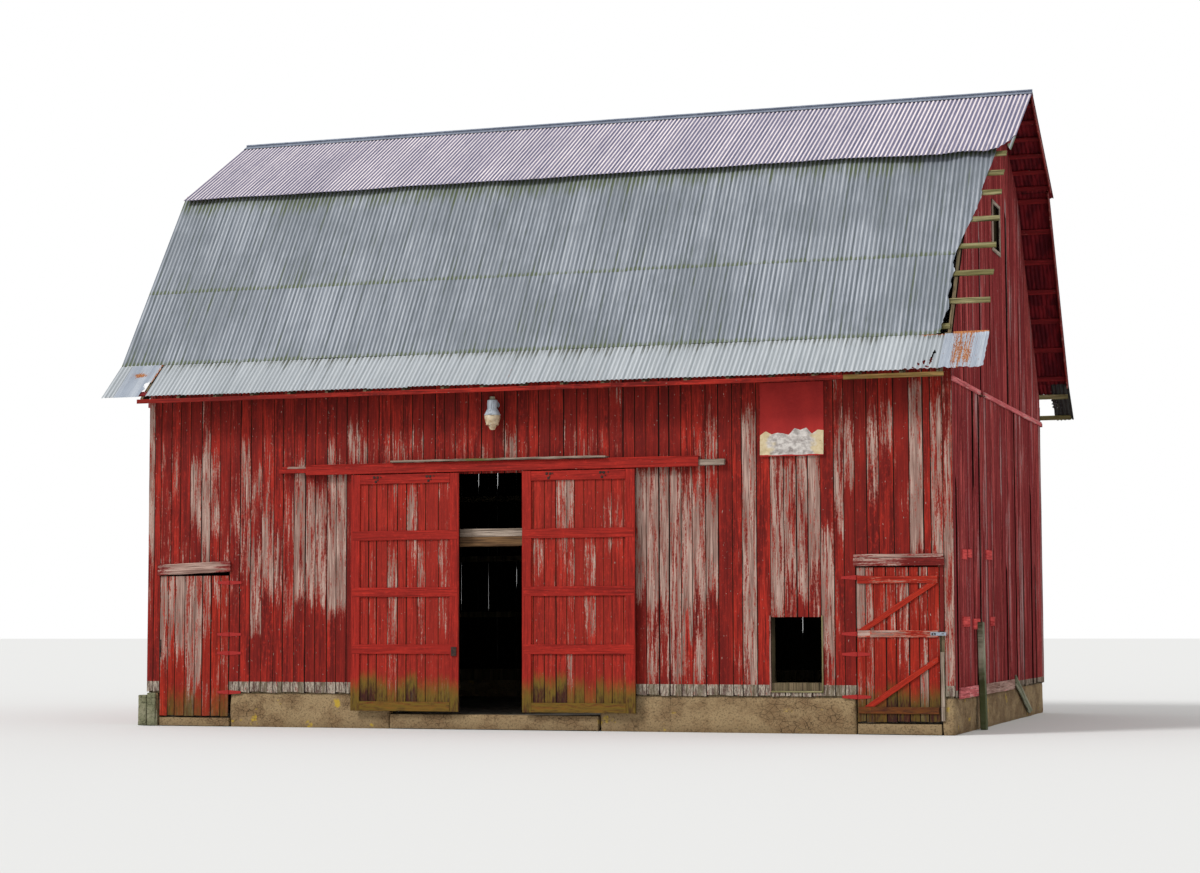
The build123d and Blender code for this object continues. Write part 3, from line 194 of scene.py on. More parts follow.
def plank(build, corner, along, across, out, size, ends=((0, 0), (0, 0)), step=0.35, chamfer=0.004,
          wobble=0.002, bow=0.0, peel=0.0, grime=0.0, tone=None, lay_from=None, pull=None, lap=None, mat=0,
          bare_inside=False):
    """A sawn board with chamfered edges: corner is on its outer face, where along and across are 0."""
    long, wide, thick = size
    rings = max(2, math.ceil(long / step)) + 1
    section = section_of(wide, thick, chamfer, lap)
    sides = len(section)
    b = section[:, 0]
    low = ends[0][0] + (ends[0][1] - ends[0][0]) * b / wide
    high = long + ends[1][0] + (ends[1][1] - ends[1][0]) * b / wide
    a = low + np.linspace(0, 1, rings)[:, None] * (high - low)
    edge_near = np.abs(wander(rings, wobble))[:, None]
    edge_far = np.abs(wander(rings, wobble))[:, None]
    if pull:
        edge_near = edge_near + pull(a[:, :1])
    b_real = b + np.where(b < wide / 2, edge_near, -edge_far)
    deep = section[:, 1] + np.abs(wander(rings, bow))[:, None]
    points = np.array(corner) + a[..., None] * along + b_real[..., None] * across - deep[..., None] * out
    caps = CAP_QUADS if lap is None else LAP_CAP_QUADS
    quads = np.concatenate((tube_quads(rings, sides), caps[:, ::-1], caps + (rings - 1) * sides))
    if np.dot(np.cross(across, along), out) < 0:
        quads = quads[:, ::-1]
    seed = RNG.uniform(0, 90)
    shift = RNG.uniform(0, 20) if lay_from is None else lay_from
    lay = np.stack((b_real, a + shift, seed + deep), -1)
    at = a + (lay_from or 0)
    dirt, worn = (np.array(np.broadcast_to(v(at) if callable(v) else v, at.shape)) for v in (grime, peel))
    # Painted shade: a lapped board's sides, rebate and back go near black; a door's back is bare wood
    # instead.
    if lap:
        dirt[:, 2:] = JOINT_SHADE
    if bare_inside:
        dirt[:, 5:7] = 0.2
        worn[:, 5:7] = 1.5
    build.add(points, quads, lay, mat, peel=worn, grime=dirt, tone=toned(tone))


def bar(build, low, high, run=0, face=(1, -1), **rest):
    """A plank that fills a box: run is its grain's axis, face the axis and sign of its outer face."""
    axis, sign = face
    other = 3 - run - axis
    span = np.subtract(high, low)
    corner = np.array(low, float)
    if sign > 0:
        corner[axis] = high[axis]
    sides = (X, Y, Z)
    plank(build, corner, sides[run], sides[other], sign * sides[axis], span[[run, other, axis]], **rest)


def rough_block(build, low, high, cell, amp, scale, round_off, top=1.0):
    """A stone or concrete block whose faces are worn inwards by noise."""
    low, high = np.array((low, high), float)
    counts = np.maximum(1, np.round((high - low) / cell).astype(int)) + 1
    for axis in range(3):
        u, v = [k for k in range(3) if k != axis]
        grid = np.meshgrid(*(np.linspace(low[k], high[k], counts[k]) for k in (u, v)), indexing="ij")
        for end in (low, high):
            flat = np.zeros((grid[0].size, 3))
            flat[:, u] = grid[0].ravel()
            flat[:, v] = grid[1].ravel()
            flat[:, axis] = end[axis]
            quads = grid_quads(*grid[0].shape)[:, (0, 3, 2, 1)]
            if (end is low) != (axis == 1):
                quads = quads[:, ::-1]
            build.add(wear(flat, low, high, amp, scale, round_off, top), quads, flat)


def wear(flat, low, high, amp, scale, round_off, top):
    worn = flat.copy()
    on_low = np.abs(flat - low) < 1e-6
    on_high = np.abs(flat - high) < 1e-6
    edges = (on_low | on_high).sum(1)
    for n, p in enumerate(flat):
        depth = amp * (0.5 + 0.5 * noise.fractal(Vector(p * scale), 1.0, 2.1, 4))
        depth = min(max(depth, 0.0), amp * 1.3) + (round_off if edges[n] > 1 else 0)
        worn[n] += depth * (on_low[n].astype(float) - on_high[n]) * (1, 1, top)
    return worn


def close_end(build, ring, middle, flip=False):
    """Closes a round end with a fan of faces."""
    sides = len(ring)
    k = np.arange(sides)
    fan = np.stack((np.full(sides, sides), k, (k + 1) % sides), -1)
    build.add(np.concatenate((ring, [middle])), fan[:, ::-1] if flip else fan)


def lathe(build, rings, middle, sides=56, turned=lambda p: p):
    """A round piece from (radius, height) rings, from the top down, closed at both ends."""
    turn = np.linspace(0, 2 * math.pi, sides, endpoint=False)
    rings = np.array(rings, float)
    points = np.stack((rings[:, :1] * np.cos(turn), rings[:, :1] * np.sin(turn),
                       np.broadcast_to(rings[:, 1:], (len(rings), sides))), -1)
    points = turned(points + middle)
    build.add(points, tube_quads(len(rings), sides)[:, ::-1])
    for n in (0, -1):
        close_end(build, points[n], turned(np.array((0, 0, rings[n, 1])) + middle), n < 0)


# Roof slopes

class Slope:
    """A line across the roof, from low to high, with depth measured inwards from the outer face."""

    def __init__(self, low, high):
        self.low = np.array(low)
        run = np.array(high) - self.low
        self.long = float(np.hypot(*run))
        self.up = run / self.long
        self.inward = np.array((self.up[1], -self.up[0]))

    def place(self, x, up, deep, side=1):
        x, up, deep = np.broadcast_arrays(x, up, deep)
        y = self.low[0] + self.up[0] * up + self.inward[0] * deep
        z = self.low[1] + self.up[1] * up + self.inward[1] * deep
        return np.stack((x, side * y, z), -1)

    def height(self, y, deep):
        """Height at a given distance across, at a depth."""
        up = (y - self.low[0] - self.inward[0] * deep) / self.up[0]
        return self.low[1] + self.up[1] * up + self.inward[1] * deep

    def ways(self, side):
        """Directions up the slope and out of it."""
        return (np.array((0, side * self.up[0], self.up[1])),
                -np.array((0, side * self.inward[0], self.inward[1])))


KICK_SLOPE = Slope(EAVE, KICK)
STEEP_SLOPE = Slope(KICK, BREAK)
UPPER_SLOPE = Slope(BREAK, RIDGE)


def grid_quads(rows, cols):
    i, j = np.meshgrid(np.arange(rows - 1), np.arange(cols - 1), indexing="ij")
    a = (i * cols + j).ravel()
    return np.stack((a, a + 1, a + cols + 1, a + cols), -1)


def shell(faces, count):
    """A grid's faces, the same faces on the layer that follows it, and the sides between them."""
    edges = np.concatenate([faces[:, (k, (k + 1) % 4)] for k in range(4)])
    there = edges[:, 0] * count + edges[:, 1]
    back = edges[:, 1] * count + edges[:, 0]
    a, b = edges[~np.isin(there, back)].T
    return np.concatenate((faces, faces[:, ::-1] + count, np.stack((b, a, a + count, b + count), -1)))


def corrugated(x, deeper):
    """Depth of a sheet's middle at x; crests are where x is a whole number of waves."""
    return SHEET_MIDDLE + deeper - WAVE_HIGH * np.cos(2 * math.pi * x / WAVE)


def lay_sheet(build, slope, side, x0, x1, ups, foot=0.0, deeper=0.0, lift=True, cuts=6, grime=None, tone=None,
              peel=0.0, holes=None, mats=(0, 0), wave=corrugated, head=0.0, bend=None):
    """One corrugated sheet. x0 and x1 may be lists with one value for each row of ups."""
    rows = len(ups)
    x0, x1 = (np.broadcast_to(end, rows)[:, None] for end in (x0, x1))
    cols = max(3, int(round(float(np.max(x1 - x0)) / WAVE * cuts)) + 1)
    x = x0 + np.linspace(0, 1, cols) * (x1 - x0)
    foot_line = foot(x[0]) if callable(foot) else foot
    blend = np.clip((ups - ups[0]) / max(ups[-1] - ups[0], 1e-6), 0, 1)[:, None]
    up = ups[:, None] + foot_line * (1 - blend) + head * blend + 0 * x
    deep = wave(x, deeper)
    if lift:
        deep = deep - (SHEET_THICK + 0.0004) * (1 - ease(WAVE * 0.5, WAVE * 0.8, x - x0))
    if bend:
        deep = deep - bend(x, up)
    layers = [slope.place(x, up, deep + half, side) for half in (-SHEET_THICK / 2, SHEET_THICK / 2)]
    seed = RNG.uniform(0, 60)
    lay = np.stack((x, up + seed, np.full_like(x, seed)), -1)
    faces = grid_quads(rows, cols)
    if holes:
        faces = faces[~holes(x.ravel()[faces].mean(1), up.ravel()[faces].mean(1))]
    quads = shell(faces, rows * cols)
    mat = np.full(len(quads), mats[1])
    mat[:len(faces)] = mats[0]
    dirt = grime(x, up) if grime else 0 * x
    bare = peel(x, up) if callable(peel) else peel + 0 * x
    build.add(np.concatenate(layers), quads[:, ::side], np.concatenate((lay, lay)), mat,
              peel=np.concatenate((bare, bare)), grime=np.concatenate((dirt, dirt)), tone=toned(tone))


# Materials. A colour is red, green and blue as written for a screen; a fourth number dims or lifts its light.

def light(red, green, blue, share=1.0):
    """A colour's linear light."""
    linear = [c / 12.92 if c <= 0.04045 else ((c + 0.055) / 1.055) ** 2.4
              for c in (red / 255, green / 255, blue / 255)]
    return (*(min(c * share, 1.0) for c in linear), 1.0)


class Nodes:
    """Short calls that build one material's nodes; noise goes by self.at unless told otherwise."""

    def __init__(self, name, roughness=0.8, metallic=0.0, specular=0.3, by_place=False):
        self.material = bpy.data.materials.new(name)
        self.material.use_nodes = True
        self.tree = self.material.node_tree
        self.shader = self.tree.nodes["Principled BSDF"]
        self.set("Roughness", roughness)
        self.set("Metallic", metallic)
        self.set("Specular IOR Level", specular)
        self.at = self.place() if by_place else self.value("lay", "Vector")

    def put(self, socket, value):
        if isinstance(value, bpy.types.NodeSocket):
            self.tree.links.new(value, socket)
        else:
            socket.default_value = light(*value) if socket.type == "RGBA" else value

    def set(self, name, value):
        self.put(self.shader.inputs[name], value)

    def node(self, kind, inputs=(), out=0, **settings):
        """Makes a node, fills its inputs and gives one of its outputs."""
        node = self.tree.nodes.new("ShaderNode" + kind)
        for key, value in settings.items():
            setattr(node, key, value)
        for key, value in dict(inputs).items():
            self.put(node.inputs[key], value)
        return node.outputs[out]

    def value(self, name, out="Fac"):
        return self.node("Attribute", out=out, attribute_name=name)

    def place(self):
        return self.node("TexCoord", out="Object")

    def axis(self, vector, number):
        return self.node("SeparateXYZ", {0: vector}, number)

    def stretch(self, vector, scale):
        return self.node("VectorMath", {0: vector, 1: scale}, operation="MULTIPLY")

    def noise(self, scale, detail=3.0, rough=0.55, at=None):
        vector = self.stretch(at or self.at, scale)
        return self.node("TexNoise", {"Vector": vector, "Scale": 1.0, "Detail": detail, "Roughness": rough})

    def math(self, operation, *values):
        return self.node("Math", enumerate(values), operation=operation)

    def blend(self, *parts):
        """The sum of values, each taken by its own share."""
        total = 0.0
        for value, share in parts:
            total = self.math("MULTIPLY_ADD", value, share, total)
        return total

    def span(self, *limits):
        """Eases a value between two limits, from 0 to 1 or between two more numbers."""
        inputs = enumerate(limits if len(limits) == 5 else (*limits, 0.0, 1.0))
        return self.node("MapRange", inputs, interpolation_type="SMOOTHSTEP")

    def mix(self, factor, a, b):
        return self.node("Mix", {0: factor, 6: a, 7: b}, 2, data_type="RGBA")

    def over(self, colour, other, value, low, high, share=1.0):
        """Lays another colour over the first, where a value eases from low to high."""
        return self.mix(self.span(value, low, high, 0.0, share), colour, other)

    def finish(self, colour, height, distance, strength):
        self.set("Base Color", colour)
        self.set("Normal", self.node("Bump", {"Height": height, "Distance": distance, "Strength": strength}))
        return self.material


WOOD = ((184, 155, 143), (146, 116, 106), (98, 68, 58))
MOSS = (84, 84, 42)
PINK = (168, 96, 82)


def bare_wood(n, pale, grey, dark):
    """Weathered grain along the board, with darker cracks."""
    grain = n.noise((150, 2.4, 1), 4, 0.65)
    colour = n.over(pale, grey, n.noise((14, 1.1, 1), 2), 0.38, 0.62)
    colour = n.over(colour, dark, grain, 0.54, 0.36, 0.8)
    return n.over(colour, (*dark, 0.5), n.noise((55, 1.0, 1)), 0.42, 0.32, 0.75), grain


def paint(name, red, red_dark, faded=PINK, cover=0.6, wood=WOOD, band=None, streak=(30, 1.3), tone_reach=0.5,
          moss_level=0.55, green=MOSS, chips=0.7, specular=0.1):
    """Old oil paint that peels off weathered boards in streaks along the grain."""
    n = Nodes(name, specular=specular)
    grime = n.value("grime")
    broad = n.noise((9, 0.9, 1), 3, 0.6)
    long = n.noise((*streak, 1), 4, 0.62)
    thin = n.noise((110, 4.5, 1), 3, 0.6)
    flake = n.noise((70, 24, 1), 4, 0.78)
    field = n.blend((long, 0.38), (broad, 0.2), (flake, 0.2), (thin, 0.22), (n.value("peel"), 0.3))
    chip = n.blend((flake, 0.2), (n.noise((52, 17, 1), 1), 0.8))
    bare = n.math("MAXIMUM", n.span(field, cover, cover + 0.018), n.span(chip, chips, chips + 0.02))
    coat = n.over(red_dark, red, broad, 0.34, 0.66)
    coat = n.over(coat, (*red, 1.5), n.noise((26, 11, 1), 4, 0.7), 0.5, 0.68, 0.5)
    coat = n.over(coat, (*red_dark, 0.4), n.noise((140, 2.4, 1), 3, 0.65), 0.54, 0.36, 0.75)
    coat = n.over(coat, (*red_dark, 0.4), n.noise((42, 0.8, 1), 3, 0.6), 0.53, 0.63, 0.6)
    coat = n.mix(n.span(n.value("tone"), -1.0, 1.0, tone_reach, 0.0), coat, red_dark)
    coat = n.over(coat, faded, field, cover - 0.04, cover + 0.004, 0.65)
    planks, grain = bare_wood(n, *wood)
    colour = n.mix(bare, coat, planks)
    if band:
        low = n.math("LESS_THAN", n.axis(n.at, 1), band)
        worn = n.noise((34, 5, 1), 5, 0.7)
        chalky = n.over((84, 64, 56), (172, 162, 146), worn, 0.42, 0.56)
        chalky = n.over(chalky, (120, 104, 96), flake, 0.5, 0.6)
        chalky = n.over(chalky, (92, 84, 62), broad, 0.52, 0.6, 0.6)
        colour = n.mix(n.math("MULTIPLY", low, n.span(worn, 0.66, 0.58)), colour, chalky)
    moss = n.blend((grime, 1.0), (n.noise((26, 6, 1), 4, 0.7), 0.6))
    soot = n.blend((grime, 0.32), (n.noise((34, 6, 1), 4, 0.65), 0.8))
    dirt = n.over(green, (30, 27, 24), soot, 0.64, 0.98)
    colour = n.over(colour, dirt, moss, moss_level + 0.2, moss_level + 0.95, 0.88)
    # Near black above 1.8: painted shade on the lapped boards' hidden faces, and the darkest dirt at the door
    # boards' feet.
    colour = n.over(colour, (24, 14, 13), grime, 1.8, 2.6)
    n.set("Roughness", n.span(bare, 0.0, 1.0, 0.66, 0.92))
    return n.finish(colour, n.blend((grain, 0.55), (bare, -0.6)), 0.0022, 0.6)


def timber(name, pale, grey, dark, place=False, moss=(92, 96, 48)):
    """Bare sawn timber, by the board's own grain or by place."""
    n = Nodes(name, specular=0.1, by_place=place)
    if place:
        n.at = n.stretch(n.at, (1, 0.35, 1))
    colour, grain = bare_wood(n, pale, grey, dark)
    if not place:
        spots = n.blend((n.value("grime"), 1.0), (n.noise((24, 6, 1), 4, 0.7), 0.9))
        colour = n.over(colour, moss, spots, 0.62, 1.02, 0.85)
    n.set("Roughness", n.span(grain, 0.3, 0.7, 0.95, 0.78))
    return n.finish(colour, grain, 0.0025, 0.6)


def roofing(name, lit_crest_pale, lit_crest_grey, shaded_trough_pale, shaded_trough_dark, moss_colour, rust=False, metallic=0.3,
            lit_crest_span=(-0.55, 0.75), waved=True, cloudy=0.3):
    """Weathered galvanised sheet: crests paler as painted light, troughs darker as painted shade, streaks of
    dirt down the slope.
    """
    n = Nodes(name, metallic=metallic)
    wide = n.noise((0.9, 0.7, 0.7), 4, 0.6, n.place())
    run = n.noise((15, 0.42, 1), 5, 0.72)
    fine = n.noise((70, 3.5, 1), 3, 0.7)
    colour = n.over(lit_crest_pale, lit_crest_grey, run, 0.35, 0.62)
    # Painted light and shade across each wave: the crests take the lit colours, the troughs the shaded ones.
    if waved:
        wave = n.math("COSINE", n.math("MULTIPLY", n.axis(n.at, 0), 2 * math.pi / WAVE))
        shaded_trough = n.over(shaded_trough_pale, shaded_trough_dark, run, 0.35, 0.62)
        colour = n.over(shaded_trough, colour, wave, *lit_crest_span)
    colour = n.over(colour, shaded_trough_dark, fine, 0.45, 0.7, 0.3)
    colour = n.over(colour, shaded_trough_dark, wide, 0.4, 0.62, cloudy)
    colour = n.over(colour, shaded_trough_dark, n.value("tone"), -1.0, 1.0, 0.14)
    moss = n.blend((wide, 0.22), (run, 0.62), (fine, 0.3), (n.value("grime"), 0.42))
    moss = n.span(moss, 0.66, 0.8, 0.0, 0.85)
    if waved:
        moss = n.math("MULTIPLY", moss, n.span(wave, 0.9, -0.3, 0.15, 1.0))
    colour = n.mix(moss, colour, moss_colour)
    if rust:
        speck = n.noise((70, 22, 1), 4, 0.75)
        amount = n.blend((speck, 0.45), (n.noise((62, 1.7, 1), 4, 0.72), 0.55), (n.value("peel"), 0.3))
        orange = n.over((184, 124, 72), (134, 72, 38), speck, 0.38, 0.62)
        colour = n.over(colour, orange, amount, 0.62, 0.67)
    n.set("Roughness", n.span(fine, 0.3, 0.7, 0.42, 0.68))
    return n.finish(colour, fine, 0.0012, 0.35)


def soffit(name, pale, dark, worn_through, worn_from):
    """The sheets' painted underside past the gables."""
    n = Nodes(name, roughness=0.85, specular=0.08)
    worn = n.noise((30, 3, 1), 4, 0.65)
    colour = n.over(pale, dark, n.noise((5, 2.2, 1), 3, 0.6), 0.36, 0.62)
    colour = n.over(colour, (*dark, 0.4), worn, 0.5, 0.36, 0.6)
    colour = n.over(colour, worn_through, worn, worn_from, worn_from + 0.04, 0.8)
    return n.finish(colour, worn, 0.001, 0.3)


def masonry(name, pale, deep, dark, lichen=0.0):
    """Rough lime render over fieldstone, with small cracks and stains."""
    n = Nodes(name, roughness=0.93, specular=0.08, by_place=True)
    cloud = n.noise((2.2, 2.2, 3.0), 5, 0.62)
    grit = n.noise((34, 34, 38), 5, 0.78)
    cells = n.node("TexVoronoi", {"Vector": n.stretch(n.at, (9, 9, 13)), "Scale": 1.0}, "Distance",
                   feature="DISTANCE_TO_EDGE")
    colour = n.over(pale, deep, cloud, 0.36, 0.64)
    colour = n.over(colour, dark, grit, 0.5, 0.64, 0.75)
    colour = n.over(colour, (*pale, 1.5), grit, 0.42, 0.32, 0.4)
    seam = n.math("MULTIPLY", n.span(cells, 0.03, 0.0), n.span(cloud, 0.45, 0.6))
    colour = n.mix(n.math("MULTIPLY", seam, 0.7), colour, (*dark, 0.35))
    damp = n.blend((n.axis(n.at, 2), 1.0), (cloud, 0.5))
    colour = n.over(colour, (*deep, 0.5), damp, 0.42, 0.12, 0.45)
    if lichen:
        colour = n.over(colour, (188, 158, 52), n.noise((3.1, 3.1, 4.2), 4, 0.6), 0.63, 0.7, lichen)
    return n.finish(colour, n.blend((grit, 0.8), (cloud, 1.4), (seam, -0.8)), 0.012, 0.8)


def iron(name, base, rust_colour, roughness=0.6, metallic=0.6, share=0.5):
    n = Nodes(name, roughness=roughness, metallic=metallic, by_place=True)
    spots = n.noise((45, 45, 45), 5, 0.7)
    return n.finish(n.over(base, rust_colour, spots, share - 0.08, share + 0.08), spots, 0.001, 0.5)


def enamel():
    """Chalky pale enamel on the lamp's housing, with darker streaks running down it."""
    n = Nodes("lamp_enamel", roughness=0.38, specular=0.4, by_place=True)
    run = n.noise((38, 38, 5), 4, 0.65)
    colour = n.over((186, 194, 202), (118, 124, 134), run, 0.4, 0.7)
    colour = n.over(colour, (150, 148, 124), n.axis(n.at, 2), 4.722, 4.73)
    return n.finish(colour, run, 0.0006, 0.3)


def lens_glass():
    """Clouded cream glass of the lamp's ribbed globe."""
    n = Nodes("lamp_lens_glass", roughness=0.32, specular=0.5, by_place=True)
    cloud = n.noise((16, 16, 22))
    n.set("Transmission Weight", 0.12)
    n.set("Subsurface Weight", 0.08)
    return n.finish(n.over((216, 198, 168), (178, 152, 118), cloud, 0.35, 0.7), cloud, 0.0005, 0.2)


def patch_paint():
    """The patch sheet: even red above, bleached felt and lime where its foot has torn."""
    n = Nodes("patch_sheet_paint", roughness=0.78, specular=0.18)
    red = n.over((166, 42, 38), (150, 36, 34), n.noise((3, 1.5, 1), 4), 0.35, 0.65)
    lumps = n.noise((11, 13, 1), 5, 0.62)
    torn = n.over((206, 200, 194), (146, 138, 134), lumps, 0.36, 0.66)
    ends = n.math("ABSOLUTE", n.math("SUBTRACT", n.axis(n.at, 0), 3.887))
    ends = n.blend((ends, 1.0), (n.noise((5, 8, 1)), 0.5))
    torn = n.over(torn, (206, 184, 134), ends, 0.5, 0.62, 0.7)
    torn = n.over(torn, (64, 56, 54), lumps, 0.62, 0.74, 0.8)
    edge = n.blend((n.value("peel"), 1.0), (lumps, 0.3))
    return n.finish(n.over(red, torn, edge, 0.58, 0.66), lumps, 0.012, 0.7)


RED = (168, 43, 31)
RED_DARK = (104, 25, 21)
SLIDER_DIRT = {"green": (100, 90, 32), "moss_level": 0.45}

WALL_PAINT = paint("front_board_paint", RED, RED_DARK, band=0.668, tone_reach=0.65)
BACK_PAINT = paint("back_board_paint", RED, RED_DARK, band=0.62)
GABLE_PAINT = paint("gable_board_paint", (188, 86, 84), (118, 44, 47), (176, 100, 98), cover=0.61, band=0.6,
                    streak=(40, 0.9), tone_reach=0.85, specular=0.0,
                    wood=((186, 150, 148), (146, 112, 112), (66, 42, 42)))
DOOR_PAINT = paint("door_board_paint", (170, 46, 34), (136, 36, 28), cover=0.62, **SLIDER_DIRT)
FRAME_PAINT = paint("door_frame_paint", (166, 42, 32), (144, 35, 28), (184, 84, 70), cover=0.68,
                    streak=(20, 2.0), tone_reach=0.2, chips=0.74, **SLIDER_DIRT)
SIDE_DOOR_PAINT = paint("side_door_paint", (168, 44, 28), (130, 32, 22), green=(84, 76, 30), moss_level=0.5)
BRACE_PAINT = paint("brace_paint", (176, 48, 28), (146, 37, 25), (196, 128, 106), cover=0.64,
                    streak=(24, 2.2), tone_reach=0.3, green=(92, 62, 26))
TRIM_PAINT = paint("trim_paint", (136, 40, 34), (102, 29, 26), (166, 116, 108), streak=(26, 2.4))
BELT_PAINT = paint("belt_paint", (222, 128, 130), (190, 96, 98), (220, 172, 168), cover=0.64, specular=0.0)
SQUARE_PAINT = paint("repair_square_paint", (218, 94, 90), (188, 68, 68), (214, 140, 136), cover=0.7,
                     specular=0.0)
RED_NAILER = paint("painted_nailer", (138, 34, 36), (100, 24, 28), (150, 90, 84), cover=0.66)
BARE = timber("bare_board", (172, 156, 142), (138, 122, 108), (72, 58, 48))
GREEN_NAILER = timber("exposed_nailer", (150, 142, 104), (112, 106, 68), (54, 48, 30), moss=(96, 100, 44))
POST_WOOD = timber("mossy_post", (168, 166, 146), (120, 122, 98), (50, 50, 36), moss=(66, 74, 42))
FASCIA_WOOD = timber("bare_fascia", (150, 118, 72), (116, 84, 48), (58, 40, 26), moss=(96, 84, 36))
BROWN_BEAM = timber("brown_beam", (122, 92, 62), (94, 70, 50), (48, 36, 28))
FRAME_TIMBER = timber("frame_timber", (124, 108, 84), (94, 84, 62), (48, 40, 32), place=True)
# On the waved sheets the crest colours are painted light and the trough colours painted shade; the upper
# sheets' near-white crests are a painted sheen.
UPPER_STEEL = roofing("upper_roof_steel", (250, 238, 236), (234, 222, 226), (128, 122, 146), (88, 87, 116),
                      (84, 78, 92), metallic=0.2, lit_crest_span=(-0.1, 0.7), cloudy=0.12)
STEEP_STEEL = roofing("steep_roof_steel", (176, 180, 186), (158, 163, 172), (130, 136, 144), (90, 97, 104),
                      (82, 92, 60), cloudy=0.4)
EAVE_STEEL = roofing("eave_roof_steel", (198, 202, 205), (184, 189, 194), (170, 175, 179), (140, 146, 150),
                     (72, 74, 58), rust=True, cloudy=0.2)
PATCH_STEEL = roofing("patch_sheet_steel", (188, 194, 202), (160, 168, 180), (140, 148, 160),
                      (116, 124, 136), (78, 78, 70), rust=True, waved=False)
CAP_STEEL = roofing("ridge_cap_steel", (142, 150, 164), (120, 128, 144), (96, 102, 118), (84, 90, 106),
                    (40, 38, 46), waved=False)
UNDER_RED = soffit("painted_underside", (112, 28, 34), (74, 18, 25), (120, 106, 104), 0.7)
UNDER_DARK = soffit("bare_underside", (62, 62, 60), (40, 36, 38), (84, 92, 70), 0.6)
RENDER = masonry("foundation_render", (154, 132, 99), (127, 103, 75), (64, 52, 38), lichen=0.8)
BLOCK_STONE = masonry("corner_block_stone", (150, 146, 122), (118, 118, 92), (82, 84, 62))
FLOOR_STONE = masonry("floor_concrete", (126, 118, 108), (100, 94, 86), (70, 64, 58))
IRON = iron("rusty_iron", (38, 33, 32), (70, 44, 34), roughness=0.8, metallic=0.15)
RED_IRON = iron("painted_strap", (156, 38, 34), (112, 32, 28), roughness=0.85, metallic=0.0, share=0.62)
PALE_IRON = iron("bright_hasp", (150, 160, 172), (112, 96, 84), metallic=0.7, share=0.6)
ENAMEL = enamel()
LENS_GLASS = lens_glass()
PATCH_PAINT = patch_paint()


# Walls of boards

# How bare the barest board can be
BARE_MOST = 0.48


def layout(a0, a1, cuts, low, high):
    """Board edges from a0 to a1 at sawn widths, moved to the given cuts."""
    spots = [a0]
    while spots[-1] < a1:
        spots.append(spots[-1] + RNG.uniform(low, high))
    spots = a0 + (np.array(spots) - a0) * (a1 - a0) / (spots[-1] - a0)
    for cut in cuts:
        if len(spots) > 2 and a0 + 0.1 < cut < a1 - 0.1:
            spots[1 + np.argmin(np.abs(spots[1:-1] - cut))] = cut
    return spots


def wear_of(middle, zones, base, spread):
    """How bare one board is at each height: its own luck, plus the zones that it lies in."""
    luck = RNG.normal(0, spread)
    shift = RNG.uniform(-0.14, 0.14)
    waves = RNG.uniform(-0.2, 0.2, 20)
    inside = [zone[2:] for zone in zones if abs(middle - zone[0]) < zone[1]]

    def bare(height):
        total = base + luck + np.interp(height, np.linspace(0, 9.7, 20), waves)
        for z0, z1, amount in inside:
            rise = ease(z0 + shift - 0.4, z0 + shift + 0.2, height)
            total = total + 0.72 * amount * rise * (1 - ease(z1 + shift - 0.2, z1 + shift + 0.4, height))
        return BARE_MOST * np.tanh(total / BARE_MOST)

    return bare


def rising(amount, low, high):
    """Dirt that fades from low to high."""
    return lambda height: amount * (1 - ease(low, high, height))


def drawn_back(gaps, foot):
    """How far a board's edge is drawn back at each height, for the gaps beside it."""
    def pull(at):
        total = np.zeros_like(at)
        for _, z0, z1, wide in gaps:
            low, high = z0 - foot, z1 - foot
            total = total + wide * ease(low - 0.12, low, at) * (1 - ease(high, high + 0.12, at))
        return total
    return pull


def board_field(build, wall, a0, a1, foot, high, zones=(), cuts=(), slits=(), base=0.0, spread=0.13,
                foot_wear=0.012, foot_grime=0.0, gap=(0.003, 0.009), narrow=0.15, wide=0.215, cracks=(),
                bare_inside=False):
    """Upright boards between a0 and a1 along a wall. high is a height, or gives it at a place."""
    origin, across, out, thick = wall
    high_at = high if callable(high) else lambda a: high
    spots = layout(a0, a1, (*cuts, *(s[0] for s in (*slits, *cracks))), narrow, wide)
    for left, right in zip(spots[:-1], spots[1:]):
        inside, wider, opens, beside = ([s for s in gaps if abs(s[0] - edge) < 1e-6]
                                        for edge in (left, right) for gaps in (slits, cracks))
        crack = RNG.uniform(*gap) + (0.006 if RNG.random() < 0.14 else 0)
        # A tongue reaches behind each wide gap and crack, so the near-black painted shade on it fills the
        # gap.
        tongue = max([gap[1] if gap[1] > 0.012 else 0.0] + [s[3] for s in beside])
        start = a0 if left == a0 else left + (0.0005 if inside else crack)
        end = a1 if right == a1 else right
        tops = np.array((high_at(start), high_at(end)))
        head = max(tops)
        drop = RNG.uniform(0, foot_wear, 2)
        sunk = RNG.uniform(0, 0.004)
        lap = (0.0 if left == a0 or inside else LAP, 0.0 if right == a1 or opens else LAP - 0.001 + tongue)
        dirt = rising(foot_grime * RNG.uniform(0.6, 1.3), foot + 0.02, foot + 0.85) if foot_grime else 0.0
        gaps = inside + wider
        plank(build, np.array(origin) + start * across + foot * Z - sunk * out, Z, across, out,
              (head - foot, end - start, thick - sunk), (drop, tops - head), step=0.1 if gaps else 0.22,
              chamfer=0.003, wobble=0.0025, grime=dirt, lay_from=foot,
              peel=wear_of((left + right) / 2, zones, base, spread), lap=lap, bare_inside=bare_inside,
              pull=drawn_back(gaps, foot) if gaps else None)


BOARDS_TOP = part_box("front_wall")[1][2]
LEFT_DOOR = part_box("left_side_door_boards")
RIGHT_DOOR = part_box("right_side_door_boards")
SIDE_GAP = 0.006
RIGHT_DOOR_GAP = 0.07
JAMBS = (-2.151, 1.049)
DOORWAY_HEAD = 3.68
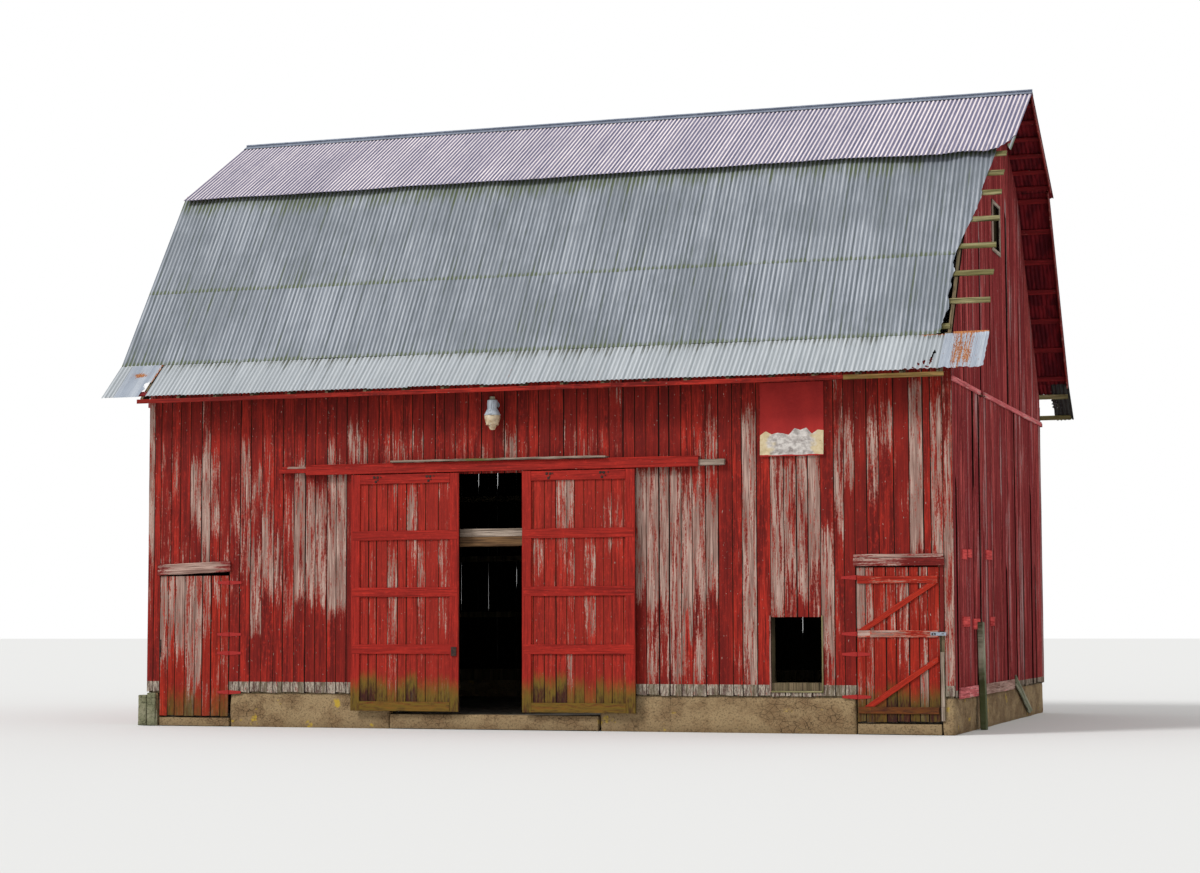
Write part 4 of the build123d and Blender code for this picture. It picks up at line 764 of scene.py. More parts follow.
# The small opening by the right door, along X and in height
HATCH = (3.568, 4.282, 0.586, 1.598)
LEFT_DOOR_HEAD = 2.30
RIGHT_DOOR_HEAD = 2.302
BELT_JOINT = 4.834
# The gable windows, along Y and in height
WINDOW = (-0.54, 0.08, 7.165, 7.83)
JOINT = 0.003
# Board edges with a set place, from the left corner
FRONT_CUTS = (2.42, 2.6, 9.28, 9.49, 9.66, 9.88, 11.64, 11.83)

# Where the front boards have lost their paint: middle from the left corner, half width, foot, top, how much
FRONT_BARE = ((0.06, 0.09, 2.6, 4.6, 0.9), (0.95, 0.26, 3.1, 4.0, 0.8), (0.98, 0.13, 2.55, 3.3, 0.9),
              (1.72, 0.16, 3.15, 4.05, 0.6), (1.84, 0.11, 1.55, 2.75, 1.1), (1.58, 0.08, 2.15, 2.85, 0.7),
              (2.5, 0.1, 2.0, 3.7, 1.3), (2.97, 0.36, 1.95, 3.6, 1.1), (2.09, 0.16, 2.0, 2.9, 0.7),
              (2.18, 0.08, 1.0, 1.35, 0.8), (0.45, 0.12, 3.3, 4.0, 0.45), (4.4, 1.5, 3.85, 4.45, 0.25),
              (8.0, 0.2, 1.95, 3.6, 1.1), (8.42, 0.17, 1.9, 3.5, 1.2), (8.74, 0.13, 2.0, 3.1, 0.9),
              (8.3, 0.48, 0.8, 1.95, 0.6), (9.38, 0.1, 1.0, 4.4, 1.4), (9.77, 0.1, 1.65, 3.75, 0.9),
              (10.02, 0.13, 1.9, 3.75, 0.6), (10.31, 0.11, 2.3, 3.7, 0.9), (10.5, 0.1, 1.3, 2.85, 0.9),
              (11.18, 0.12, 3.2, 4.55, 0.9), (11.73, 0.09, 3.1, 4.75, 1.3), (11.73, 0.09, 2.5, 3.0, 0.7),
              (12.15, 0.14, 0.4, 4.9, 0.6), (10.75, 0.13, 3.2, 4.85, 0.6), (11.42, 0.1, 3.8, 4.5, 0.5),
              (5.6, 6.5, 4.45, 4.95, -0.3), (1.2, 1.4, 0.5, 1.2, -0.35), (2.6, 1.0, 0.6, 1.4, -0.4),
              (7.2, 0.8, 4.0, 4.9, -0.1), (11.3, 0.4, 2.3, 2.9, -0.4))
SLIDER_BARE = ((3.81, 0.1, 1.2, 2.45, 0.45), (4.07, 0.08, 1.5, 2.45, 0.4), (4.35, 0.09, 2.8, 3.5, 0.6),
               (4.55, 0.09, 1.25, 2.45, 0.7), (3.7, 0.1, 3.0, 3.4, 0.2), (6.35, 0.1, 1.9, 2.6, 0.5),
               (6.7, 0.09, 2.8, 3.5, 0.5), (7.1, 0.1, 1.3, 2.4, 0.6), (7.4, 0.09, 2.7, 3.3, 0.6))
SIDE_DOOR_BARE = ((0.66, 0.4, 1.2, 2.24, 0.42), (0.76, 0.12, 0.55, 1.4, 0.5), (0.5, 0.1, 1.9, 2.2, 0.7),
                  (11.04, 0.12, 1.5, 2.2, 0.8), (11.5, 0.1, 0.8, 2.3, 0.35), (11.25, 0.1, 1.5, 2.2, 0.3))
# The same for the right gable: middle from the front corner
GABLE_BARE = ((2.38, 0.1, 6.3, 7.4, 0.9), (2.9, 0.1, 5.9, 6.7, 0.8), (4.98, 0.12, 5.3, 8.0, 1.1),
              (2.5, 0.1, 5.4, 6.4, 0.9), (5.38, 0.1, 6.1, 6.9, 0.6), (3.87, 0.1, 5.3, 5.9, 0.7),
              (4.2, 0.12, 3.5, 4.6, 0.8), (4.9, 0.1, 1.0, 3.5, 0.7), (2.05, 0.1, 2.0, 4.7, 0.5),
              (6.0, 0.15, 1.0, 2.9, 0.6), (2.6, 0.08, 2.8, 3.3, 0.6), (0.25, 0.1, 2.2, 3.1, 0.4),
              (4.5, 0.1, 0.8, 1.6, 0.5))
# Gaps between boards: place along the wall, foot, top, width
BACK_SLITS = ((1.751, 1.83, 2.59, 0.007), (2.081, 4.01, 4.33, 0.01), (2.277, 1.77, 2.53, 0.007),
              (2.451, 4.0, 4.33, 0.01), (2.818, 2.2, 2.47, 0.007), (8.1, 1.4, 2.2, 0.007))
# The right gable's cracks are wide, and the painted shade on the tongues behind them shows as dark lines.
LOW_CRACKS = ((0.2, 0.6, 3.4, 0.1), (1.58, 3.5, 4.9, 0.1), (2.1, 0.6, 4.7, 0.11), (3.3, 0.4, 2.6, 0.05),
              (4.5, 0.4, 2.3, 0.11), (5.42, 0.6, 4.9, 0.1), (6.2, 0.4, 2.4, 0.06), (7.07, 0.4, 3.6, 0.11),
              (7.5, 0.4, 2.4, 0.09))
HIGH_CRACKS = ((0.95, 4.8, 5.9, 0.05), (2.36, 4.8, 7.0, 0.12), (3.3, 5.4, 6.8, 0.05), (4.86, 4.9, 7.8, 0.12),
               (6.1, 4.8, 6.6, 0.06))


def front_boards():
    build = Build()
    left_in = LEFT_DOOR[0][0] - LEFT - SIDE_GAP
    left_out = LEFT_DOOR[1][0] - LEFT + 2 * SIDE_GAP
    right_out = RIGHT_DOOR[0][0] - LEFT - 2 * SIDE_GAP
    right_in = RIGHT_DOOR[1][0] - LEFT + RIGHT_DOOR_GAP
    jambs = [at - LEFT for at in JAMBS]
    hatch = [at - LEFT for at in HATCH[:2]]
    fields = [(a0, a1, BOARDS_FOOT, BOARDS_TOP) for a0, a1 in (
        (0, left_in), (left_out, jambs[0]), (jambs[1], hatch[0]), (hatch[1], right_out),
        (right_in, RIGHT - LEFT))]
    fields += [(a0 + JOINT, a1 - JOINT, foot, top) for a0, a1, foot, top in (
        (left_in, left_out, LEFT_DOOR_HEAD, BOARDS_TOP), (*jambs, DOORWAY_HEAD, BOARDS_TOP),
        (*hatch, HATCH[3], BOARDS_TOP), (*hatch, BOARDS_FOOT, HATCH[2]),
        (right_out, right_in, RIGHT_DOOR_HEAD, BOARDS_TOP))]
    for a0, a1, foot, top in fields:
        board_field(build, ((LEFT, FRONT, 0), X, -Y, BOARD), a0, a1, foot, top, FRONT_BARE, cuts=FRONT_CUTS,
                    foot_wear=0.03 if foot == BOARDS_FOOT else 0.004)
    build.piece("front_wall_boards", [WALL_PAINT], "front_wall")


def back_boards():
    build = Build()
    board_field(build, ((LEFT, BACK, 0), X, Y, BOARD), 0, RIGHT - LEFT, BOARDS_FOOT, BOARDS_TOP,
                slits=BACK_SLITS, base=0.06, foot_wear=0.004)
    build.piece("back_wall_boards", [BACK_PAINT], "back_wall")


def roof_line(a):
    """Top of the gable boards, under the nailers, at a distance from the front corner."""
    across = -abs(a + FRONT)
    return min(STEEP_SLOPE.height(across, UNDER_NAILER), UPPER_SLOPE.height(across, UNDER_NAILER))


def gable_boards(side_name, side, zones, slits, cuts, low_cracks=(), high_cracks=()):
    """One field under the belt; above it four beside the window, one under it and one over it."""
    build = Build()
    inset = BOARD + JOINT
    long = BACK - FRONT
    turn = BREAK[0] - FRONT
    window = (WINDOW[0] - FRONT, WINDOW[1] - FRONT)
    wall = ((side * RIGHT, FRONT, 0), Y, side * X, BOARD)
    loose = {"spread": 0.2, "gap": (0.006, 0.026)}
    board_field(build, wall, inset, long - inset, BOARDS_FOOT, BELT_JOINT, zones, cuts, slits, -0.02,
                foot_wear=0.03, cracks=low_cracks, **loose)
    for a0, a1 in ((inset, turn), (turn, window[0] - JOINT), (window[1] + JOINT, long - turn),
                   (long - turn, long - inset)):
        board_field(build, wall, a0, a1, BELT_JOINT + JOINT, roof_line, zones, (*cuts, -FRONT), base=0.02,
                    foot_wear=0.004, cracks=high_cracks, **loose)
    board_field(build, wall, *window, BELT_JOINT + JOINT, WINDOW[2], zones, base=-0.08)
    board_field(build, wall, *window, WINDOW[3], roof_line, zones, (-FRONT,), base=-0.08)
    build.piece(side_name + "_gable_boards", [GABLE_PAINT], side_name + "_gable_wall")


# Roof sheets

def rows_between(low, high, step=0.5):
    """Rows up a sheet, with one close to each end."""
    edge = 0.035
    inner = np.linspace(low + 2.5 * edge, high - 2.5 * edge, max(2, int((high - low) / step) + 1))
    return np.concatenate(((low, low + edge), inner, (high - edge, high)))


def edge_dirt(low, high, foot_amount, head_amount, base=0.0):
    """Dirt at a sheet's lower and upper edges."""
    return lambda x, up: (base + foot_amount * (1 - ease(low + 0.01, low + 0.12, up))
                          + head_amount * ease(high - 0.22, high - 0.02, up))


def course(build, slope, side, x0, x1, low, high, jitter=(0, 0.012), red_past=5.7, rows=None, foot_line=None,
           **rest):
    """Sheets side by side, each one lapped over the last; painted underneath past the gables."""
    for n in range(math.ceil((x1 - x0) / SHEET_WIDE)):
        a = x0 + n * SHEET_WIDE
        b = min(x1, a + SHEET_WIDE + WAVE * 0.5)
        offset = RNG.uniform(*jitter)
        slant = RNG.uniform(-0.006, 0.006)

        def foot(x, a=a, offset=offset, slant=slant):
            line = offset + slant * (x - a) / SHEET_WIDE
            if foot_line:
                line = line + foot_line(x)
            return np.maximum(line, 0.0) if low == 0 else line

        lay_sheet(build, slope, side, a, b, rows_between(low, high) if rows is None else rows, foot=foot,
                  lift=n > 0, mats=(0, int(a > red_past or b < -red_past)), **rest)


STEEP_TOP = STEEP_SLOPE.long - 0.05
# The torn edge's place at heights up the slope
TORN_LOW = ((0, RIGHT - 0.18), (0.313, RIGHT - 0.115), (1.468, RIGHT - 0.072))
TORN_HIGH = ((1.468, RIGHT - 0.098), (2.36, RIGHT + 0.138), (3.6, RIGHT + 0.343))
# How far the upper sheets' lower edge stands off its line towards the right end
UPPER_RISE = ((4.2, 0.0), (5.1, -0.04), (5.67, -0.06), (5.97, 0.01), (6.17, -0.03), (6.32, -0.06),
              (6.4, 0.01), (6.48, 0.05), (6.55, 0.2), (6.61, 0.33), (6.65, 0.53), (6.69, 0.58))
# Rusted holes near the eave's right end: X, height up the slope, half width, half height
RUST_HOLES = ((5.74, 0.13, 0.018, 0.03), (5.81, 0.17, 0.018, 0.045), (5.9, 0.2, 0.02, 0.09),
              (5.915, 0.31, 0.012, 0.08), (5.93, 0.39, 0.016, 0.04), (5.86, 0.06, 0.03, 0.016),
              (5.68, 0.05, 0.02, 0.012))


def torn_edge(line, ups):
    """The torn edge's place at each row, with notches."""
    at = np.interp(ups, *zip(*line))
    notches = np.minimum(wander(len(ups), 0.04, len(ups) // 5) + wander(len(ups), 0.03, 7), 0.012)
    return at + notches + RNG.uniform(-0.016, 0.016, len(ups)) * np.abs(wander(len(ups), 1.2, 9))


def torn_course(build, line, low, high, **rest):
    """The front steep sheets from the left end to the tear."""
    last = ROOF_LEFT + int((line[0][1] - ROOF_LEFT - 0.3) / SHEET_WIDE) * SHEET_WIDE
    course(build, STEEP_SLOPE, 1, ROOF_LEFT, last, low, high, (-0.008, 0.008), **rest)
    ups = np.linspace(low, high, 42)
    edge = torn_edge(line, ups)
    lift = np.abs(wander(len(ups), 0.04, 7))

    def curl(x, up):
        return np.interp(up, ups, lift) * (1 - ease(0.0, 0.14, np.interp(up, ups, edge) - x)) ** 2

    lay_sheet(build, STEEP_SLOPE, 1, last, edge, ups, cuts=7, bend=curl, **rest)


def upper_foot(x):
    """The upper sheets' lower edge waves, and rises at the right end."""
    gentle = 0.012 * np.sin(x * 1.9) + 0.009 * np.sin(x * 4.3 + 1.0)
    return gentle + np.interp(x, *zip(*UPPER_RISE))


def roof_piece(build, name, materials, node, smooth=50):
    build.piece(name, materials, node, "weathered_roofing", smooth=smooth)


def upper_sheets():
    build = Build()
    x0, x1 = ROOF_LEFT + UPPER_SHIFT, ROOF_RIGHT + UPPER_SHIFT
    top = UPPER_SLOPE.long - 0.012
    for side, foot_line in ((1, upper_foot), (-1, None)):
        course(build, UPPER_SLOPE, side, x0, x1, -UPPER_PAST, top, (-0.004, 0.012), foot_line=foot_line,
               rows=rows_between(-UPPER_PAST, top, 0.6), grime=edge_dirt(-UPPER_PAST, top, 0.35, 0.1))
    # The bent flap at the torn corner is drawn darker than the sheets beside it, in the steep sheets' colours
    # at their darkest tone.
    flap = np.linspace(-UPPER_PAST - 0.04, 0.33, 12)
    edge = np.interp(flap, (-0.256, -0.03, 0.12, 0.33), (6.664, 6.6, 6.615, 6.66))
    lay_sheet(build, UPPER_SLOPE, 1, edge, x1, flap, deeper=0.01, tone=1.0, cuts=12, mats=(2, 1),
              grime=lambda x, up: 0.5 + 0 * x)
    roof_piece(build, "upper_roof_sheets", [UPPER_STEEL, UNDER_RED, STEEP_STEEL], "upper_sheets")


def steep_sheets():
    build = Build()
    lower = {"low": 0, "high": LAP_UP + 0.06, "deeper": 0.0016, "grime": edge_dirt(0, LAP_UP, 0.5, 0, 0.12)}
    higher = {"low": LAP_UP, "high": STEEP_TOP, "grime": edge_dirt(LAP_UP, STEEP_TOP, 0.5, 0.75, 0.12)}
    torn_course(build, TORN_LOW, **lower)
    torn_course(build, TORN_HIGH, **higher)
    course(build, STEEP_SLOPE, -1, ROOF_LEFT, ROOF_RIGHT, jitter=(0, 0.01), **lower)
    course(build, STEEP_SLOPE, -1, ROOF_LEFT, ROOF_RIGHT, jitter=(-0.01, 0.01), **higher)
    roof_piece(build, "steep_roof_sheets", [STEEP_STEEL, UNDER_RED], "steep_sheets")


def ragged(reach):
    """A torn lower edge."""
    notches = np.tile(RNG.uniform(0, reach, 60), 12)
    return lambda x: np.interp(x, np.linspace(LEFT, ROOF_RIGHT, len(notches)), notches)


def rusted(x, up):
    """Where the sheet has rusted through."""
    wobble = 1 + 0.35 * np.sin(x * 170 + up * 90)
    return np.any([((x - at) / half) ** 2 + ((up - height) / tall) ** 2 < wobble
                   for at, height, half, tall in RUST_HOLES], axis=0)


def eave_sheets():
    build = Build()
    top = KICK_SLOPE.long - 0.004
    dirt = edge_dirt(0, top, 0.15, 0.42)
    rows = rows_between(0, top, 0.3)
    first = -5.958
    last = first + 19 * SHEET_WIDE
    course(build, KICK_SLOPE, 1, first, last, 0.0, top, (0.0, 0.022), math.inf, rows, grime=dirt)

    def rusty_end(x, up):
        return (0.55 * (1 - ease(0.0, 0.05, up)) + 0.7 * ease(top - 0.06, top, up)) * ease(5.5, 5.8, x)

    lay_sheet(build, KICK_SLOPE, 1, last, 6.088, np.linspace(0, top, 62), cuts=12, grime=dirt, holes=rusted,
              foot=lambda x: 0.02 + 0.012 * np.sin(x * 50), peel=rusty_end)
    course(build, KICK_SLOPE, -1, ROOF_LEFT, 6.06, 0.0, top, (0.0, 0.03), rows=rows, grime=dirt, head=0.05)
    jagged = np.linspace(0, top, 40)
    lay_sheet(build, KICK_SLOPE, -1, 6.062, 6.33, jagged[24:], ragged(0.16), cuts=14, mats=(0, 1), head=0.05)
    lay_sheet(build, KICK_SLOPE, -1, 6.29 + np.abs(wander(40, 0.04, 12)), ROOF_RIGHT, jagged, ragged(0.05),
              0.001, cuts=12, mats=(0, 2), head=0.05)
    roof_piece(build, "eave_roof_sheets", [EAVE_STEEL, UNDER_RED, UNDER_DARK], "eave_sheets")


def patch_sheets():
    """The rusty sheets at both front ends of the eave."""
    build = Build()
    top = KICK_SLOPE.long - 0.004
    rows = np.linspace(0, top, 26)

    def rust_right(x, up):
        side = ease(6.1, 6.2, x) * (1 - ease(6.36, 6.58, x))
        foot = 0.3 * (1 - ease(0.0, 0.09, up))
        return 0.52 * side * ease(-0.05, 0.2, up) + foot + 1.1 * ease(top - 0.04, top, up)

    def rust_left(x, up):
        mark = np.exp(-((x + 6.25) / 0.12) ** 2 - ((up - 0.55) / 0.06) ** 2)
        foot = 0.45 * (1 - ease(0.0, 0.1, up)) * ease(-6.2, -6.0, x)
        return 0.9 * mark + foot + 0.6 * ease(-6.03, -5.98, x)

    def foot_right(x):
        return np.maximum(0.012 + 0.012 * np.sin(x * 23) + 0.01 * np.sin(x * 61), 0.0)

    def fine_wave(x, deeper):
        return 0.006 + deeper - 0.0022 * np.cos(2 * math.pi * x / 0.0224)

    def sheet(x0, x1, **rest):
        lay_sheet(build, KICK_SLOPE, 1, x0, x1, rows, lift=False, **rest)

    edge = ROOF_RIGHT - np.abs(wander(len(rows), 0.012))
    sheet(6.02, 6.16, foot=foot_right, cuts=12, tone=-0.4, peel=0.1, deeper=-0.004,
          wave=lambda x, deeper: fine_wave(x, deeper) * 0.5)
    sheet(6.14, edge, foot=foot_right, peel=rust_right, tone=-0.6, cuts=24, wave=fine_wave, deeper=-0.003,
          bend=lambda x, up: 0.03 * ease(top - 0.1, top, up) ** 2)
    sheet(ROOF_LEFT, -6.47, foot=0.01, tone=0.2, cuts=10, peel=rust_left, mats=(1, 1))
    torn = -5.965 + RNG.uniform(-0.02, 0.0, len(rows)) - 0.1 * ease(0.5, 0.0, rows)
    sheet(-6.49, torn, tone=0.6, cuts=16, peel=rust_left, wave=fine_wave,
          holes=lambda x, up: ((x + 6.03) / 0.06) ** 2 + ((up - 0.3) / 0.07) ** 2 < 1)
    roof_piece(build, "eave_patch_sheets_worn", [PATCH_STEEL, EAVE_STEEL], "eave_patch_sheets")


def cap():
    """Smooth flashings bent over the ridge, and the roll on top."""
    build = Build()
    xs = np.linspace(ROOF_LEFT + UPPER_SHIFT, ROOF_RIGHT + UPPER_SHIFT, 120)
    same = np.ones(len(xs))
    top = UPPER_SLOPE.long
    sag = np.outer((0.001, -0.0005, -0.001, -0.001), same)
    # The flashings go near black along their lower edge.
    dirt = np.outer((1.1, 0.2, 0.0, 0.0), same)
    for side in (1, -1):
        edge = 0.12 + RNG.uniform(-0.004, 0.0, len(xs)) + 0.004 * np.sin(xs * 2.7)
        ups = np.stack((top - edge, top - edge + 0.012, same * (top - 0.06), same * (top - 0.001)))
        layers = [UPPER_SLOPE.place(xs, ups, sag - thick, side) for thick in (0.0022, 0.0)]
        lay = np.stack((xs + 0 * ups, ups, 0 * ups), -1)
        build.add(np.concatenate(layers), shell(grid_quads(*ups.shape), ups.size)[:, ::side],
                  np.concatenate((lay, lay)), tone=0.6, grime=np.concatenate((dirt, dirt)))
    radius = 0.015
    sides = 14
    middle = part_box("ridge_cap")[1][2] - radius
    turn = np.linspace(0, 2 * math.pi, sides, endpoint=False)
    rise = middle + radius * np.sin(turn) - np.abs(0.0012 * np.sin(xs * 3.1))[:, None]
    ring = np.stack(np.broadcast_arrays(xs[:, None], radius * np.cos(turn), rise), -1)
    build.add(ring, tube_quads(len(xs), sides)[:, ::-1], ring * (1, 3, 1), tone=0.3)
    for n in (0, -1):
        close_end(build, ring[n], (xs[n], 0, middle), n == 0)
    roof_piece(build, "ridge_cap_flashing", [CAP_STEEL], "ridge_cap", 40)


# Roof timber

STEEP_ROWS = (0.155, 0.61, 1.123, 1.636, 2.149, 2.662, 3.046, 3.430)
BACK_STEEP_ROWS = tuple(0.155 + k * (3.430 - 0.155) / 6 for k in range(7))
UPPER_ROWS = tuple(0.09 + k * (2.0705 - 0.09) / 5 for k in range(6))
KICK_ROWS = (0.1, 0.585)
NAILER_LEFT = ROOF_LEFT + 0.03
NAILER_RIGHT = ROOF_RIGHT - 0.03


def nailer(build, slope, side, x0, x1, up, **rest):
    """A board under the sheets that lies along X on a slope, with its middle at up."""
    along, out = slope.ways(side)
    corner = slope.place(x0, up - NAILER_WIDE / 2, NAILER_DEEP, side)
    plank(build, corner, X, along, out, (x1 - x0, NAILER_WIDE, NAILER_THICK), **rest)


def nailers(kind, slope, front_rows, back_rows, bare_side, shift=0.0):
    """Boards across the rafters; past the tears their ends are bare and mossy, and the lowest is broken."""
    build = Build()
    for side, rows in ((1, front_rows), (-1, back_rows)):
        for up in rows:
            broken = slope is STEEP_SLOPE and side > 0 and up == STEEP_ROWS[0]
            joint = 5.2 + RNG.uniform(-0.4, 0.4)
            nailer(build, slope, side, NAILER_LEFT + shift, joint, up, step=1.0, peel=0.1)
            nailer(build, slope, side, joint + 0.002, 6.08 if broken else NAILER_RIGHT + shift, up, step=0.25,
                   wobble=0.004, ends=((0, 0), -RNG.uniform(0, 0.02, 2)), peel=0.15, grime=0.15,
                   mat=int(side == bare_side))
    build.piece(kind + "_nailers", [RED_NAILER, GREEN_NAILER], kind.replace("_roof", "") + "_nailers",
                "bare_timber")


def fascia():
    build = Build()
    low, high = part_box("eave_fascias")
    thick = 0.02
    for side in (1, -1):
        a, b = (low[1], low[1] + thick) if side > 0 else (high[1] - thick, high[1])
        for x0, x1, old in ((low[0], -2.9, False), (-2.9, 1.4, False), (1.4, 4.72, False),
                            (4.72, high[0], side > 0)):
            bar(build, (x0 + 0.001, a, low[2]), (x1 - 0.001, b, high[2]), 0, (1, -side), step=0.4,
                wobble=0.003, peel=0.35 if old else -0.1, grime=0.3 if old else 0.0, mat=int(old))
    build.piece("eave_fascia_boards", [WALL_PAINT, FASCIA_WOOD], "eave_fascias", "bare_timber")


def rakes():
    """Boards along the gable edges of the roof; the torn front right edge has none."""
    build = Build()
    deep, thick = 0.09, 0.022
    near, far = NAILER_DEEP, NAILER_DEEP + deep
    steep, upper = (math.atan2(*slope.up[::-1]) for slope in (STEEP_SLOPE, UPPER_SLOPE))
    turn = math.tan((steep - upper) / 2)
    pitch = math.tan(upper)
    runs = ((STEEP_SLOPE, 0.0, ((0, 0), (-near * turn, -far * turn))),
            (UPPER_SLOPE, UPPER_SHIFT, ((near * turn, far * turn), (-near * pitch, -far * pitch))))
    for x, way, side in ((NAILER_LEFT, -1, 1), (NAILER_LEFT, -1, -1), (NAILER_RIGHT, 1, -1)):
        for slope, shift, ends in runs:
            along, out = slope.ways(side)
            corner = slope.place(x + shift + way * thick, 0.0, near, side)
            plank(build, corner, along, -out, way * X, (slope.long, deep, thick), ends, 0.5, peel=0.1)
    build.piece("rake_trim_boards", [TRIM_PAINT], "rake_boards", "bare_timber")


# Trim on the walls

def belts():
    """The boards across both gables at the plates' height, with a clump of moss on the right one."""
    build = Build()
    foot, high = 4.795, 4.873
    thick = 0.028
    moss_at = FRONT + 2.26
    bar(build, (RIGHT + 0.001, moss_at - 0.05, foot - 0.02), (RIGHT + 0.034, moss_at + 0.16, foot + 0.03), 1,
        (0, 1), step=0.03, chamfer=0.01, wobble=0.012, peel=0.2, grime=1.6)
    for y0, y1 in ((FRONT, -2.93), (-2.93, moss_at), (FRONT + 2.61, 0.9), (0.9, BACK)):
        drop = RNG.uniform(0, 0.006)
        bar(build, (RIGHT, y0 + 0.001, foot), (RIGHT + thick, y1 - 0.001, high - drop), 1, (0, 1), step=0.3,
            wobble=0.004, peel=0.25, ends=((0, 0), (-RNG.uniform(0, 0.01), 0)))
    for y0, y1 in ((FRONT, -0.6), (-0.6, BACK)):
        bar(build, (LEFT - thick, y0 + 0.001, foot), (LEFT, y1 - 0.001, high), 1, (0, -1), step=0.4,
            wobble=0.003, peel=0.2)
    build.piece("gable_belt_boards", [BELT_PAINT], "gable_belts")


def frames():
    """Boards around the gable windows and the small opening, and the strips on the right jamb."""
    build = Build()
    trim, deep = 0.06, 0.02
    y0, y1, z0, z1 = WINDOW
    for a, b, sign in ((RIGHT, RIGHT + deep, 1), (LEFT - deep, LEFT, -1)):
        for ya, yb in ((y0 - trim, y0), (y1, y1 + trim)):
            bar(build, (a, ya, z0 - trim), (b, yb, z1 + trim), 2, (0, sign), step=0.2, peel=1.2, wobble=0.003,
                mat=1)
        for za, zb in ((z0 - trim, z0), (z1, z1 + trim)):
            bar(build, (a, y0 + 0.001, za), (b, y1 - 0.001, zb), 1, (0, sign), step=0.2, peel=1.2, mat=1)
    x0, x1, z0, z1 = HATCH
    trim, deep = 0.022, 0.015
    for xa, xb, mat in ((x0 - trim, x0, 0), (x1, x1 + trim, 2)):
        bar(build, (xa, FRONT - deep, z0 - trim), (xb, FRONT, z1 + trim), 2, step=0.15, peel=0.5, grime=0.25,
            mat=mat)
    bar(build, (x0 + 0.001, FRONT - deep, z0 - trim), (x1 - 0.001, FRONT, z0), step=0.15, peel=0.9, grime=0.2,
        mat=2)
    jamb = LEFT + 12.042
    wide = 0.056
    for za, zb in ((0.194, 0.379), (0.382, 1.123)):
        bar(build, (jamb, FRONT - 0.01, za), (jamb + wide, FRONT + 0.01, zb), 2, step=0.12, wobble=0.004,
            peel=0.3, grime=0.22, mat=1)
    bar(build, (jamb, FRONT + 0.0005, 1.4), (jamb + wide, FRONT + 0.016, 2.288), 2, step=0.12, wobble=0.003,
        peel=-0.1, tone=-1.0)
    build.piece("opening_trim_boards", [TRIM_PAINT, BARE, GREEN_NAILER], "opening_trims")


def headers():
    """The boards over the side doors; the left one is tilted."""
    build = Build()
    thick = 0.03
    tilt = math.atan2(0.048, 1.213)
    along = np.array((math.cos(tilt), 0, math.sin(tilt)))
    across = np.array((-math.sin(tilt), 0, math.cos(tilt)))
    corner = (LEFT + 0.182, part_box("door_headers")[0][1], 2.25)
    foot = (0, 0.165 * math.sin(tilt) * 0.99)
    plank(build, corner, along, across, -Y, (1.2135, 0.164, thick), (foot, (0, 0)), 0.08, wobble=0.004,
          peel=lambda at: 0.15 + 0.75 * np.exp(-((at - 0.55) / 0.4) ** 2), lay_from=0.0, tone=0.2)
    x0, x1 = LEFT + 10.859, LEFT + 12.110
    bar(build, (x0, FRONT - thick, 2.29), (x1, FRONT, 2.4), step=0.08, wobble=0.003, lay_from=0.0, tone=0.0,
        peel=lambda at: 0.34 - 0.34 * ease(0.6, 0.85, at) + 0.2 * ease(1.1, 1.2, at))
    bar(build, (x0 + 0.004, FRONT - thick + 0.004, 2.402), (x1 - 0.01, FRONT, 2.455), step=0.08, wobble=0.006,
        peel=0.4, grime=0.25)
    build.piece("side_door_header_boards", [TRIM_PAINT], "door_headers")


def patch():
    """The sheet nailed on the front wall, with its torn, swollen foot."""
    build = Build()
    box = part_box("patch_panel")
    x0, x1 = box[0][0], box[1][0]
    foot, top, split = 3.825, 4.85, 4.245
    mx, mz = np.meshgrid(np.linspace(x0, x1, 64), np.linspace(foot, top, 80))
    out = 0.01 + 0.022 * (1 - ease(foot, split, mz))
    jag = np.interp(mx[0], np.linspace(x0, x1, 12), split - 0.1 + RNG.uniform(-0.045, 0.075, 12))
    torn = 1 - ease(-0.012, 0.02, mz - jag)
    lumps = np.reshape([noise.fractal(Vector((x * 9, z * 10, 3.1)), 1.0, 2.0, 4)
                        for x, z in zip(mx.ravel(), mz.ravel())], mx.shape)
    bulge = torn * np.sin(np.clip((mz - foot) / (split - foot), 0, 1) * math.pi)
    push = np.clip(out - 0.004 + 0.004 * bulge + 0.012 * lumps * torn, 0.004, 0.0318)
    lip = 1 - ease(foot, foot + 0.03, mz)
    push = push * (1 - lip) + 0.031 * lip
    mz = mz + 0.012 * (1 - ease(foot, foot + 0.2, mz)) * np.abs(np.sin(mx * 9)) * (mz > foot)
    outer = np.stack((mx, FRONT - push, mz), -1)
    inner = np.stack((mx, FRONT - np.maximum(push - 0.009, 0.0005), mz), -1)
    bare = torn * (1 - ease(foot + 0.028, foot + 0.012, mz))
    lay = np.stack((mx, mz, 0 * mx), -1)
    build.add(np.concatenate((outer, inner)), shell(grid_quads(*mx.shape), mx.size),
              np.concatenate((lay, lay)), peel=np.concatenate((bare, bare)))
    build.piece("patch_sheet_torn", [PATCH_PAINT], "patch_panel", smooth=60)


